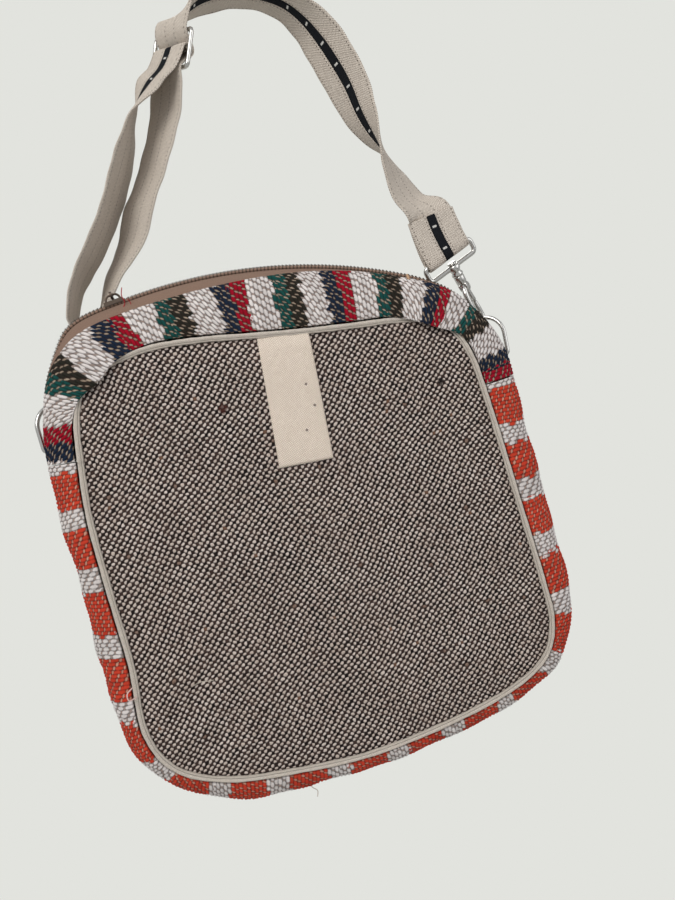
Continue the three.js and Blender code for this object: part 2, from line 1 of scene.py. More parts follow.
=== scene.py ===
# %% [markdown]
# A flat bag of tweed and striped herringbone wool, zipped over the top. The solids of the part
# come in first and stay as they are: they carry the joints, and what is drawn below covers
# them. Cloth and yarn are drawn in millimetres about the middle of the front panel, as in the
# part's own source, and `row` carries them over to metres about the point where the strap is
# held.

# %% A hand-woven wool shoulder bag, empty, hanging from its linen strap
import bpy
import numpy as np
from mathutils import Matrix, Vector


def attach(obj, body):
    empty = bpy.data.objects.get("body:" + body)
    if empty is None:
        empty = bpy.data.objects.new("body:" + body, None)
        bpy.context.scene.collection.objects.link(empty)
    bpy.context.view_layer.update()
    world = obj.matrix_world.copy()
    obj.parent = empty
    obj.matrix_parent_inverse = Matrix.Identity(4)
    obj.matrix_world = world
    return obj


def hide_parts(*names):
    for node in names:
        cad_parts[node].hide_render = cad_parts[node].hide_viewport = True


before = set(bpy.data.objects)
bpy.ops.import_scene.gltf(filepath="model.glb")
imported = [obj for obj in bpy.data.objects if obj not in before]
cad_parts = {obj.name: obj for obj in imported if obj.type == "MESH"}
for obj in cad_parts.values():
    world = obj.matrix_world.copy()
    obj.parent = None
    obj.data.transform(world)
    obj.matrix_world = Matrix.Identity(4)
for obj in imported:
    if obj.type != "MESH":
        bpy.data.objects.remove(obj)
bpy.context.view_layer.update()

HOLD = np.array([30, 10, 384.4])    # where the strap is held up


def row(points):
    """Bag millimetres to the part's frame in metres: take away the hold, divide by 1000."""
    return (np.asarray(points, float) - HOLD) / 1000


# %% [markdown]
# The camera stands where the photograph was taken: on the bag's left, looking slightly down,
# and rolled, because the bag hung askew in the picture. Euler angles could set it, but three
# separate turns can each be checked against the picture: two aim it and the last one rolls it.

# %% Camera
def turn(axis, degrees):
    return np.array(Matrix.Rotation(np.radians(degrees), 3, axis))


LENS_MM = 28
EYE = (-37.3, -489.3, 96)
look = turn("Z", -8) @ turn("X", -4)
side, ahead, over = look.T
roll = np.radians(-13.5)
across = np.cos(roll) * side + np.sin(roll) * over
upwards = np.cos(roll) * over - np.sin(roll) * side
camera = bpy.data.objects.new("camera", bpy.data.cameras.new("camera"))
camera.data.lens = LENS_MM
camera.data.clip_start = 0.01
place = np.eye(4)
place[:3, :3] = np.stack([across, upwards, -ahead], axis=1)
place[:3, 3] = row(EYE)
camera.matrix_world = Matrix(place)
bpy.context.scene.collection.objects.link(camera)
bpy.context.scene.camera = camera
print("camera", camera.data.lens, "mm lens")

# %% [markdown]
# Real cloth has two faces and an edge, and it could be drawn as a plane with a Solidify
# modifier. Here every mesh is skinned from a numpy grid instead, since a grid also knows where
# each point lies along the yarns, so shape and colour can follow one rule. A shell is a sheet
# with two faces: each row of its outer face runs on into the inner face, and both ends are
# closed.

# %% Meshes from grids
def mesh_object(name, vertices, quads, material, attributes=None, smooth=True):
    """One mesh from arrays; it is turned inside out if its signed volume is negative."""
    v = np.asarray(vertices, float)
    q = np.asarray(quads, int)
    a, b, c, d = (v[q[:, i]] for i in range(4))
    volume = np.einsum("ij,ij->i", a, np.cross(b, c) + np.cross(c, d)).sum()
    if volume < 0:
        q = q[:, ::-1]
    mesh = bpy.data.meshes.new(name)
    mesh.vertices.add(len(v))
    mesh.vertices.foreach_set("co", row(v).astype(np.float32).ravel())
    mesh.loops.add(q.size)
    mesh.loops.foreach_set("vertex_index", q.astype(np.int32).ravel())
    mesh.polygons.add(len(q))
    mesh.polygons.foreach_set("loop_start", np.arange(0, q.size, 4, dtype=np.int32))
    mesh.update(calc_edges=True)
    mesh.validate()
    if smooth:
        mesh.polygons.foreach_set("use_smooth", np.ones(len(mesh.polygons), bool))
    for key, values in (attributes or {}).items():
        made = mesh.attributes.new(key, "FLOAT_VECTOR", "POINT")
        made.data.foreach_set("vector", np.asarray(values, np.float32).ravel())
    mesh.materials.append(material)
    thing = bpy.data.objects.new(name, mesh)
    bpy.context.scene.collection.objects.link(thing)
    return thing


def skin(name, grid, material, weave=None, closed_path=False, smooth=True):
    """Rings of points, n by m: ring i is joined to ring i + 1, and open ends are capped by
    quads from point j straight across to point m - 1 - j."""
    n, m = grid.shape[:2]
    i = np.arange(n if closed_path else n - 1)[:, None]
    j = np.arange(m)[None, :]
    here, there = i * m, (i + 1) % n * m
    k = (j + 1) % m
    quads = [np.stack([here + j, here + k, there + k, there + j], -1).reshape(-1, 4)]
    if not closed_path:
        h = np.arange(m // 2 - 1)
        first = np.stack([m - 1 - h, m - 2 - h, h + 1, h], -1)
        quads += [first, first[:, ::-1] + (n - 1) * m]
    attributes = None if weave is None else {"weave": weave.reshape(-1, 3)}
    return mesh_object(name, grid.reshape(-1, 3), np.concatenate(quads), material,
                       attributes, smooth)


def shell(name, outer, inner, material, weave):
    """A closed sheet of cloth between an outer and an inner grid."""
    both = np.concatenate([outer, inner[:, ::-1]], axis=1)
    return skin(name, both, material, np.concatenate([weave, weave[:, ::-1]], axis=1))


def vectors(x, y, z):
    """Three arrays of numbers as one array of points."""
    return np.stack(np.broadcast_arrays(x, y, z), -1)


def distances(path):
    """How far along a path each of its points lies."""
    steps = np.linalg.norm(np.diff(path, axis=0), axis=1)
    return np.concatenate([[0], np.cumsum(steps)])


def sampled(at, d, path):
    """The points at these distances, where d says how far along each point of the path is."""
    return np.stack([np.interp(at, d, column) for column in np.transpose(path)], -1)


def normals(grid):
    """Unit normals of a grid: the cross product of its two central differences."""
    n = np.cross(np.gradient(grid, axis=0), np.gradient(grid, axis=1))
    return n / np.maximum(np.linalg.norm(n, axis=-1, keepdims=True), 1e-9)


def unit(v):
    return v / np.linalg.norm(v, axis=-1, keepdims=True)


def circle(radius, sides):
    """Points of a circle, starting half a step round, so that it caps evenly."""
    a = 2 * np.pi * (np.arange(sides) + 0.5) / sides
    return radius * np.stack([np.cos(a), np.sin(a)], -1)


def sweep(path, x, y, section):
    """Carries a flat section along a path, in the plane of the two ways x and y."""
    section = np.broadcast_to(section, (len(path),) + section.shape[-2:])
    return path[:, None] + section[..., :1] * x[:, None] + section[..., 1:] * y[:, None]


# %% [markdown]
# The metal fittings, the loose threads and the bead of the zip are all round wires. Blender
# could bevel a curve for them; a wire skinned here stays a plain mesh, can taper, and its
# frame doesn't twist at sharp bends.


# %% Wires and curves
def wire(name, path, radius, material, closed=False, sides=14, taper=None):
    """A round wire along a path. Its frame is carried from point to point without twisting."""
    path = np.asarray(path, float)
    way = unit(np.roll(path, -1, 0) - np.roll(path, 1, 0)) if closed \
        else unit(np.gradient(path, axis=0))
    x = np.zeros_like(path)
    start = np.eye(3)[np.argmin(abs(way[0]))]
    for i, w in enumerate(way):
        start = start - w * (start @ w)
        start = x[i] = start / np.linalg.norm(start)
    y = np.cross(way, x)
    if closed:
        gap = np.arctan2(x[0] @ y[-1], x[0] @ x[-1])
        a = np.linspace(0, gap, len(path))[:, None]
        x, y = np.cos(a) * x + np.sin(a) * y, np.cos(a) * y - np.sin(a) * x
    section = circle(radius, sides)
    if taper is not None:
        section = section[None] * np.asarray(taper)[:, None, None]
    return skin(name, sweep(path, x, y, section), material, closed_path=closed)


def eased(points, count):
    """A smooth open curve through stops: each tangent is the weighed mean of the two chords,
    and the weights are the roots of the distances between stops."""
    p = np.asarray(points, float)
    n = len(p)
    q = np.concatenate([2 * p[:1] - p[1:2], p, 2 * p[-1:] - p[-2:-1]])
    t = np.linspace(0, n - 1, count)
    k = np.minimum(t.astype(int), n - 2)
    f = (t - k)[:, None]
    p0, p1, p2, p3 = (q[k + i] for i in range(4))
    d0, d1, d2 = (np.maximum(np.linalg.norm((b - a)[:, :3], axis=1, keepdims=True), 1e-6)
                  ** 0.5 for a, b in ((p0, p1), (p1, p2), (p2, p3)))
    m1 = ((p1 - p0) / d0 - (p2 - p0) / (d0 + d1) + (p2 - p1) / d1) * d1
    m2 = ((p2 - p1) / d1 - (p3 - p1) / (d1 + d2) + (p3 - p2) / d2) * d1
    return ((2 * f**3 - 3 * f**2 + 1) * p1 + (f**3 - 2 * f**2 + f) * m1
            + (3 * f**2 - 2 * f**3) * p2 + (f**3 - f**2) * m2)


# %% [markdown]
# The same sums shape the yarn and colour it. Nodes could be wired by hand, but then the weave
# would be written twice. `Field` lets ordinary arithmetic build the shader's nodes, and the
# small functions below it work on arrays and on fields alike.

# %% Arithmetic for arrays and shaders
class Field:
    """A number that varies over a surface, made of Math nodes."""

    def __init__(self, tree, socket):
        self.tree, self.socket = tree, socket

    def op(self, kind, *others):
        node = self.tree.nodes.new("ShaderNodeMath")
        node.operation = kind
        for port, value in zip(node.inputs, (self,) + others):
            if isinstance(value, Field):
                self.tree.links.new(value.socket, port)
            else:
                port.default_value = value
        return Field(self.tree, node.outputs[0])

    def __add__(self, other): return self.op("ADD", other)
    def __radd__(self, other): return self.op("ADD", other)
    def __sub__(self, other): return self.op("SUBTRACT", other)
    def __rsub__(self, other): return (self * -1) + other
    def __mul__(self, other): return self.op("MULTIPLY", other)
    def __rmul__(self, other): return self.op("MULTIPLY", other)
    def __truediv__(self, other): return self.op("DIVIDE", other)
    def __abs__(self): return self.op("ABSOLUTE")
    def __gt__(self, other): return self.op("GREATER_THAN", other)
    def __lt__(self, other): return self.op("LESS_THAN", other)


def either(kind, plain):
    """One function for both: the Math node of that kind, or the numpy function."""
    def work(first, *rest):
        if isinstance(first, Field):
            return first.op(kind, *rest)
        return plain(first, *rest)
    return work


floor = either("FLOOR", np.floor)
sine = either("SINE", np.sin)
root = either("SQRT", np.sqrt)
least = either("MINIMUM", np.minimum)
most = either("MAXIMUM", np.maximum)


def frac(x):
    return x - floor(x)


def ramp(x, low, high):
    """0 below low, 1 above high, and an eased step between."""
    t = least(most((x - low) / (high - low), 0.0), 1.0)
    return t * t * (3.0 - t * 2.0)


def chance(x):
    """A different number from 0 to 1 for each whole number."""
    return frac(sine(x * 12.9898) * 437.585)


# %% [markdown]
# Herringbone: each yarn crosses the band and floats over two threads in three, and the floats
# step along from yarn to yarn. In both bands the step turns back from stripe to stripe. On the
# upper band the yarns of every second stripe also lean; on the lower band their floats are
# longer. A bump texture alone would leave the outline smooth, so the floats are real relief.

# %% Measures of the weave
YARN = 2.65                         # width of a yarn, in millimetres
REPEAT = 5.6                        # length of a float and the gap after it
FLOAT_AT, FLOAT_HALF = 0.4, 0.38    # middle and half length of a float, as shares of the repeat
DASH_AT, DASH_HALF = 0.89, 0.125    # the same of the crossing thread in the gap
# middles of the dark stripes of each band, in millimetres from the left joint round the bag
DARK = [13, 57, 110, 150, 191, 228, 264, 299, 336, 367, 407]
ORANGE = [436, 475, 517, 559, 606, 658, 701, 743, 787, 828, 870, 914, 963, 1008, 1053, 1098,
          1135]
STRIPE_PITCH = 42.0    # about the way from one to the next
# half widths of the dark stripes, as shares of that way
DARK_HALF, ORANGE_HALF = 0.265, 0.315
# where the step of each band first turns back, and the length of two stripes
UPPER_TURN, LOWER_TURN = (110.0, 74.2), (414.2, 87.4)
print(len(DARK), "dark stripes,", len(ORANGE), "orange ones")


# %% Weave
def herringbone(s, t, upper):
    """How far a point is under a float (0 to 1), its place across the yarn (-1 to 1), its
    place along the repeat (0 to 1), and the numbers of the yarn and of the float. s runs
    along the band and t across it, in millimetres."""
    s = s + 0.5 * sine(t * 0.11 + s * 0.033) + 0.35 * sine(s * 0.061 - t * 0.17)
    first, pair = UPPER_TURN if upper else LOWER_TURN
    steep = frac((s - first) / pair) > 0.5
    if upper:
        s = s + t * (steep * 0.4)
        shift, repeat = 2.35 - steep * 4.7, REPEAT
    else:
        shift, repeat = steep * 5.3 - 2.2, REPEAT + steep * 2.6
    yarn = floor(s / YARN)
    c = frac(s / YARN) * 2.0 - 1.0
    place = (t + yarn * shift + 0.5 * sine(yarn * 2.7) + 0.4 * sine(t * 0.4 + yarn)
             + 0.5 * c) / repeat
    phase = frac(place)
    e = (phase - FLOAT_AT) / FLOAT_HALF
    over_it = ramp(1.08 - c * c * 0.76 - e * e, 0.0, 0.36)
    return over_it, c, phase, yarn, floor(place)


def relief(s, t, upper):
    """Height of the cloth in millimetres: plump floats with the crossing threads between."""
    over_it, c, phase, *_ = herringbone(s, t, upper)
    roundness = root(most(1.0 - c * c * 0.97, 0.0))
    plump = 1.0 - 3.2 * (phase - FLOAT_AT) * (phase - FLOAT_AT)
    return over_it * roundness * plump * 1.35 + (1.0 - over_it) * 0.5 * roundness - 0.8


# %% [markdown]
# Materials. They could be painted images, but yarns stay sharp at any distance when their
# colour is worked out. Colours are written as they look on a screen and turned into light
# values. `Paint` holds one material and has one way of adding nodes.

# %% Materials
def screen(r, g, b):
    """Screen values 0 to 255 as linear light."""
    v = np.array([r, g, b]) / 255
    return (*np.where(v < 0.04045, v / 12.92, ((v + 0.055) / 1.055) ** 2.4), 1.0)


class Paint:
    """A material under construction, with one way of adding nodes."""

    def __init__(self, name, **constants):
        self.material = bpy.data.materials.new(name)
        self.material.use_nodes = True
        self.tree = self.material.node_tree
        self.shader = self.tree.nodes["Principled BSDF"]
        for key, value in constants.items():
            self.shader.inputs[key.replace("_", " ")].default_value = value

    def node(self, kind, settings=None, **inputs):
        made = self.tree.nodes.new(kind)
        for key, value in (settings or {}).items():
            setattr(made, key, value)
        for key, value in inputs.items():
            port = made.inputs[int(key[1:]) if key[0] == "i" and key[1:].isdigit() else key]
            value = value.socket if isinstance(value, Field) else value
            if isinstance(value, bpy.types.NodeSocket):
                self.tree.links.new(value, port)
            else:
                port.default_value = value
        return made

    def split(self, socket, scale=1.0):
        parts = self.node("ShaderNodeSeparateXYZ", Vector=socket)
        return [Field(self.tree, o) * scale for o in parts.outputs]

    def place(self):
        """Where a point is, in millimetres about the middle of the front panel."""
        coords = self.node("ShaderNodeTexCoord")
        x, y, z = self.split(coords.outputs["Object"], 1000.0)
        return x + HOLD[0], y + HOLD[1], z + HOLD[2]

    def weave(self):
        attribute = self.node("ShaderNodeAttribute", {"attribute_name": "weave"})
        return self.split(attribute.outputs["Vector"])

    def noise(self, x, y, z=0.0, scale=1.0, detail=2.0):
        at = self.node("ShaderNodeCombineXYZ", X=x, Y=y, Z=z)
        made = self.node("ShaderNodeTexNoise", Vector=at.outputs[0], Scale=scale, Detail=detail)
        return Field(self.tree, made.outputs[0])

    def mix(self, factor, a, b, blend="MIX"):
        made = self.node("ShaderNodeMix", {"data_type": "RGBA", "blend_type": blend},
                         i0=factor, i6=a, i7=b)
        return made.outputs[2]

    def grey(self, value):
        """A grey of that brightness, to multiply a colour with."""
        return self.node("ShaderNodeCombineXYZ", X=value, Y=value, Z=value).outputs[0]

    def bump(self, height, distance, strength):
        made = self.node("ShaderNodeBump", Height=height, Distance=distance, Strength=strength)
        self.tree.links.new(made.outputs[0], self.shader.inputs["Normal"])

    def colour(self, socket):
        self.tree.links.new(socket, self.shader.inputs["Base Color"])
        return self.material


CLOTH = dict(Roughness=0.95, Specular_IOR_Level=0.15)

# %% [markdown]
# The wool of the two bands: the warp changes colour from stripe to stripe, and a pale thread
# crosses under it. One rule could colour whole stripes; counting yarns lets single ones stray
# over the border, as in the hand-woven cloth.


# %% Wool
def wool_band(name, upper):
    """Herringbone wool: the colour of each yarn comes from its place along the band, and the
    crossing threads show as short dashes between the floats. The gaps round the dashes are
    painted shade, and each yarn is painted lighter along its middle and darker at its edges."""
    p = Paint(name, **CLOTH)
    s, t, stripe = p.weave()
    stray = (p.noise(s * 0.8, t * 0.8, 7.0) - 0.5) * 1.3
    over_it, c, phase, yarn, number = herringbone(s + stray, t - stray, upper)
    fibre = p.noise(s * 2.2, t * 0.55, 0.0, 1.0, 3.0)
    patchy = p.noise(s * 0.09, t * 0.09, 3.0, 1.0, 2.0)
    pale = p.mix(patchy, screen(200, 191, 187), screen(232, 226, 223))
    # taking away the way across the yarn leaves each yarn one colour
    place = stripe - c * (YARN / (2 * STRIPE_PITCH)) + \
        (chance(yarn * 3.0 + number * 7.0) - 0.5) * 0.09
    near = place - floor(place + 0.5)
    if upper:
        odd = frac(floor(place + 0.5) * 0.5) > 0.25
        # navy beside red, and in every second stripe teal beside black
        left = p.mix(odd, screen(24, 36, 54), screen(20, 70, 66))
        right = p.mix(odd, screen(150, 10, 34), screen(38, 36, 30))
        dark = p.mix(near > 0.0, left, right)
        inside = abs(near) < DARK_HALF
        dash = p.mix(inside, screen(150, 132, 122), screen(160, 144, 126))
    else:
        dark = p.mix(patchy, screen(178, 46, 33), screen(208, 72, 48))
        inside = abs(near) < ORANGE_HALF
        dash = p.mix(inside, screen(162, 144, 134), screen(204, 152, 130))
    yarn_colour = p.mix(inside, pale, dark)
    e = (phase - DASH_AT) / DASH_HALF
    oval = ramp(most(1.15 - c * c * 0.7 - e * e - fibre * 0.5, 0.0), 0.0, 0.4)
    oval = oval * (0.55 + 0.45 * chance(yarn * 5.0 + number))
    # painted shade: in the gaps between the floats the yarn's colour is darkened towards dark
    # brown, as the shade that falls there
    gap = p.mix(0.7, yarn_colour, screen(66, 50, 44))
    colour = p.mix(over_it, p.mix(oval, gap, dash), yarn_colour)
    # painted shade: each yarn is lighter along its middle and darker towards its edges, with some
    # fibre noise, and each yarn gets a small random change of tone
    lit = 0.46 + 0.58 * root(most(1.0 - c * c, 0.0)) + (fibre - 0.5) * 0.55
    yarn_shade_and_tone = least(lit, 1.05) * (0.9 + 0.2 * chance(yarn))
    colour = p.mix(1.0, colour, p.grey(yarn_shade_and_tone), "MULTIPLY")
    p.bump(fibre * 0.5 + p.noise(s * 6.0, t * 1.5, 1.0, 1.0, 2.0) * 0.3, 0.0006, 0.8)
    return p.colour(colour)


# %% [markdown]
# The tweed of the panels: cream yarn over dark yarn, one square in two. The grid is pulled
# about by slow waves and noise first, because hand-woven rows are never straight. Two dark
# neps sit where the photograph shows them.


# %% Tweed
CELL = 2.24    # width of one square of the weave, in millimetres


def tweed():
    """Plain weave: cream yarn one way over dark yarn the other, seen as a fine checker."""
    p = Paint("tweed", **CLOTH)
    x, _, z = p.place()
    x = x + 1.4 * sine(z * 0.045) + 0.8 * sine(z * 0.11 + x * 0.03)
    z = z + 1.4 * sine(x * 0.038 + 1.0) + 0.7 * sine(x * 0.09)
    x = x + (p.noise(x, z, 2.0, 0.33, 1.0) - 0.5) * 1.9
    z = z + (p.noise(x, z, 6.0, 0.33, 1.0) - 0.5) * 1.9
    i, j = floor(x / CELL), floor(z / CELL)
    cream = frac((i + j) * 0.5) > 0.25
    plump = chance(i * 3.0 + j * 7.0)
    fx, fz = frac(x / CELL) - 0.5, frac(z / CELL) - 0.5
    spot = 1.0 - fx * fx * 2.0 - fz * fz * 3.1 + fx * fz * 1.2
    rough = p.noise(x, z, 0.0, 1.4, 3.0)
    blotch = p.noise(x, z, 0.0, 0.028, 3.0)
    light = p.mix(blotch, screen(182, 167, 158), screen(228, 215, 207))
    light = p.mix(plump * 0.45, light, screen(168, 148, 132))
    deep = p.mix(chance(i * 5.0 + j + 7.0), screen(30, 24, 23), screen(66, 52, 47))
    shown = ramp(spot + (rough - 0.5) * 0.6 + (plump - 0.5) * 0.2, 0.12, 0.52)
    colour = p.mix(cream * shown, deep, light)
    odd = chance(i * 12.7 + j * 4.1) > 0.997
    colour = p.mix(odd * 0.8, colour, screen(112, 84, 68))
    for at_x, at_z, size, tone in ((108.4, 90.0, 2.2, (22, 18, 18)),
                                   (-41.3, 107.4, 2.8, (72, 40, 34))):
        speck = ramp(abs(x - at_x) + abs(z - at_z), size * 1.6, size)
        colour = p.mix(speck * 0.85, colour, screen(*tone))
    # painted shade: each square of the weave is darker towards its edges and lighter in its middle
    colour = p.mix(1.0, colour, p.grey(least(most(0.74 + 0.38 * spot, 0.5), 1.05)), "MULTIPLY")
    height = spot * (0.5 + cream * 0.5) + rough * 0.3
    p.bump(height, 0.0009, 0.9)
    return p.colour(colour)


# %% [markdown]
# Linen makes the strap, the piping and the tabs. Its threads are two crossed sets of waves
# with streaky noise over them; in the colour the waves are painted shade between the threads.
# The rows of stitches could be meshes; they are so small that holes painted dark as shade in
# the colour, and dents in the bump, do as well.


# %% Linen
def linen(name, tone, shade, stitches=(), ditch=None, specks=()):
    """Natural linen: fine threads both ways, a few dark slubs, rows of stitches with their holes
    painted dark as shade, and where it is folded a line of painted shade in the ditch between
    two folds, with painted shade over the lower fold."""
    p = Paint(name, **CLOTH)
    s, t, _ = p.weave()
    threads = sine(s * 4.2 + p.noise(s, t, 0.0, 0.25) * 4.0) \
        * sine(t * 4.2 + p.noise(t, s, 0.0, 0.22) * 4.0)
    long_way = p.noise(s * 0.25, t * 2.6, 0.0, 1.0, 3.0)
    short_way = p.noise(s * 2.6, t * 0.25, 5.0, 1.0, 3.0)
    slubs = p.noise(s * 0.7, t * 1.6, 9.0, 1.0, 1.0)
    # the streaks are the linen's own mottle; the threads term is painted shade, darker in the
    # lines between the threads
    mottle_and_thread_shade = least(most(long_way * 0.8 + short_way * 0.8 + threads * 0.6 - 0.3, 0.0), 1.0)
    colour = p.mix(mottle_and_thread_shade, screen(*shade), screen(*tone))
    colour = p.mix(ramp(slubs, 0.72, 0.78) * 0.5, colour, screen(96, 80, 66))
    height = threads * 0.4 + long_way * 0.4 + short_way * 0.4
    if ditch is not None:
        # painted shade: a dark line along the ditch between cord and fold, and the fold below it
        # darkened more and more away from it
        colour = p.mix(ramp(abs(t - ditch), 1.0, 0.2) * 0.7, colour, screen(84, 70, 60))
        colour = p.mix(ramp(t, ditch + 1.0, ditch + 7.0) * 0.45, colour, screen(112, 98, 86))
    for at_s, at_t in specks:
        speck = ramp(abs(s - at_s) + abs(t - at_t), 1.4, 0.9)
        colour = p.mix(speck * 0.8, colour, screen(84, 66, 52))
    for at, pitch in stitches:
        # painted shade: the stitch holes are darkened as the shade in them, and the bump dents
        # them
        line = ramp(abs(abs(t) - at), 0.55, 0.2)
        hole = ramp(abs(frac(s / pitch) - 0.5), 0.22, 0.1)
        colour = p.mix(line * hole * 0.75, colour, screen(70, 58, 50))
        height = height - line * hole * 0.9
    p.bump(height, 0.0006, 0.8)
    return p.colour(colour)


# %% [markdown]
# The small finishes: the black band in the strap with its white marks, the zip's tape, plated
# metal with fine scuffs, and yarn for the loose threads.


# %% Band, tape, metal and yarn
def black_band():
    """Black woven band with short white marks across it."""
    p = Paint("black_band", **CLOTH)
    s, t, _ = p.weave()
    mark = ramp(abs(frac(s / 17.0) - 0.5), 0.055, 0.03) * ramp(abs(t + 0.3), 1.7, 1.4)
    thread = sine(s * 9.0) * sine(t * 7.0)
    colour = p.mix(mark, screen(26, 28, 32), screen(214, 212, 206))
    p.bump(thread, 0.0004, 0.6)
    return p.colour(colour)


def zip_tape():
    """A fine ribbed tape in mauve brown."""
    p = Paint("zip_tape", **CLOTH)
    s, t, _ = p.weave()
    grain = p.noise(s * 1.6, t * 1.6, 0.0, 1.0, 3.0)
    colour = p.mix(grain, screen(120, 96, 82), screen(158, 132, 116))
    p.bump(sine(s * 6.0 + t * 5.0) * 0.5 + grain, 0.0004, 0.8)
    return p.colour(colour)


def metal(name, tone, rough):
    """Plated metal: the scuffs darken it and make its roughness vary by a little."""
    wear = 0.06
    p = Paint(name, Metallic=1.0)
    x, y, z = p.place()
    scuff = p.noise(x * 0.5, z * 2.0, y * 2.0, 1.0, 4.0)
    colour = p.mix(scuff * 0.4, screen(*tone), screen(*(v * 0.8 for v in tone)))
    p.tree.links.new((scuff * wear * 2 + (rough - wear)).socket,
                     p.shader.inputs["Roughness"])
    p.bump(scuff, 0.0001, 0.3)
    return p.colour(colour)


def yarn_paint(name, tone):
    """Yarn of one tone, a fifth darker in places."""
    p = Paint(name, **CLOTH)
    x, y, z = p.place()
    grain = p.noise(x * 3.0, z * 3.0, y * 3.0, 1.0, 2.0)
    return p.colour(p.mix(grain, screen(*(v * 0.8 for v in tone)), screen(*tone)))


# %% [markdown]
# Every material of the bag, each made once. The two woollens differ in their stripes, the three
# linens in tone and stitching, and the two metals in tone and polish.

# %% All materials
UPPER_WOOL = wool_band("striped_wool", True)
LOWER_WOOL = wool_band("orange_wool", False)
TWEED = tweed()
LINEN = linen("linen_strap", (230, 220, 207), (160, 148, 136), ((4.9, 2.6), (16.2, 2.8)))
PIPING = linen("linen_piping", (240, 231, 219), (166, 153, 140), ditch=8.4)
TAB = linen("linen_tab", (255, 243, 229), (190, 170, 150),
            specks=((17.9, 111.0), (11.2, 81.1), (20.3, 96.0)))
BLACK_BAND = black_band()
ZIP_TAPE = zip_tape()
BRONZE = metal("bronze", (98, 86, 77), 0.42)
NICKEL = metal("nickel", (212, 210, 205), 0.2)
CREAM_THREAD = yarn_paint("cream_thread", (222, 212, 196))
RED_THREAD = yarn_paint("red_thread", (176, 30, 46))
PINK_THREAD = yarn_paint("pink_thread", (236, 204, 196))
print(len(bpy.data.materials), "materials")

# %% [markdown]
# The bag's form: the piping seam and the middle of the gusset, clockwise from the left joint.
# Each stop has the seam's x and z, then the middle's x and z. The outline was read off the
# photograph in these few stops; a smooth curve through them keeps the soft, uneven square that
# a box with rounded edges would not have.


# %% Form
RIDGE_RADIUS = 354


def ridge(degrees):
    """A point of the arc on which the zip lies."""
    a = np.radians(degrees)
    return (-30 + RIDGE_RADIUS * np.sin(a), -157 + RIDGE_RADIUS * np.cos(a))


ROUND = np.array([
    (-135.5, 96, -160, 98), (-132, 120, -157, 122), (-126, 137, -148.5, 150),
    (-115, 146.5, -136.5, 170), (-100, 153.5, *ridge(-14.5)), (-74, 157.3, *ridge(-8.5)),
    (-42, 155.3, *ridge(-2.5)), (-8, 150.5, *ridge(3.5)), (26, 146, *ridge(9.5)),
    (60, 142.5, *ridge(15.5)), (92, 139.5, *ridge(21.5)), (115, 133.5, *ridge(27.5)),
    (128.5, 122.5, 151, 139), (135.5, 104, 165, 114), (138.5, 82, 170, 84),
    (142, 40, 171, 40), (145.5, -10, 173, -10), (149, -60, 176, -62),
    (149, -92, 171.5, -97), (137, -116, 153, -131), (106, -131, 111, -149),
    (56, -140.5, 58, -159.5), (0, -144.5, 0, -163), (-52, -140, -54, -162),
    (-95, -132, -100, -154.5), (-126, -115, -139, -127), (-139, -86, -157, -90),
    (-137, -40, -159.5, -40), (-138.5, 10, -159.5, 10), (-139, 58, -160.5, 58)])
RIGHT_JOINT = 14       # the station where the striped wool ends and the orange wool begins
STATIONS = len(ROUND)


def around(station):
    """Seam and middle at stations round the bag, on smooth closed curves through the stops."""
    k = np.floor(station).astype(int)
    f = (station - k)[:, None]
    p0, p1, p2, p3 = (ROUND[(k + i) % STATIONS] for i in (-1, 0, 1, 2))
    p = 0.5 * (2 * p1 + (p2 - p0) * f + (2 * p0 - 5 * p1 + 4 * p2 - p3) * f**2
               + (3 * p1 - p0 - 3 * p2 + p3) * f**3)
    return p[:, :2], p[:, 2:]


def half_depth(z):
    """Half the bag's depth at the seam: 20 mm at the top, and 7 mm more at the bottom."""
    return 20 + (150 - z) * 7 / 295


def gusset(station, angle, inset=0.0):
    """The gusset's surface: seam + way out * (reach - inset) * sin(angle), and
    y = -(half depth - inset) * cos(angle)."""
    seam, middle = around(station)
    out = middle - seam
    reach = np.linalg.norm(out, axis=1)
    out = out / reach[:, None]
    swell = (reach[:, None] - inset) * np.sin(angle)
    flat = seam[:, None] + out[:, None] * swell[..., None]
    y = -(half_depth(seam[:, 1])[:, None] - inset) * np.cos(angle)
    return vectors(flat[..., 0], y, flat[..., 1])


fine = np.linspace(0, STATIONS, 3001)
shoulder = gusset(fine, np.full((3001, 1), np.pi / 4))[:, 0]
LENGTHS = distances(shoulder)
print(f"{LENGTHS[-1]:.0f} mm round the gusset,",
      f"{np.interp(RIGHT_JOINT, fine, LENGTHS):.0f} mm of it striped")

# %% [markdown]
# The gusset's wool: two striped halves over the top, with the zip between them, and one orange
# strip round the rest. A cloth simulation could make it sag, but the bag is sewn and hangs
# still, so its swells and sags are a few chosen bumps. They hold still from run to run.


# %% Bands
SAG_BACK, SAG_OUT = 12, 4.8    # how far the empty corners sag over the piping, and outwards


def sagging(station):
    """Where the empty bag's upper corners sag over the piping: two soft bumps, 0 to 1."""
    return np.exp(-((station - 11.1) / 1.3) ** 2) + np.exp(-((station - 2.9) / 1.5) ** 2)


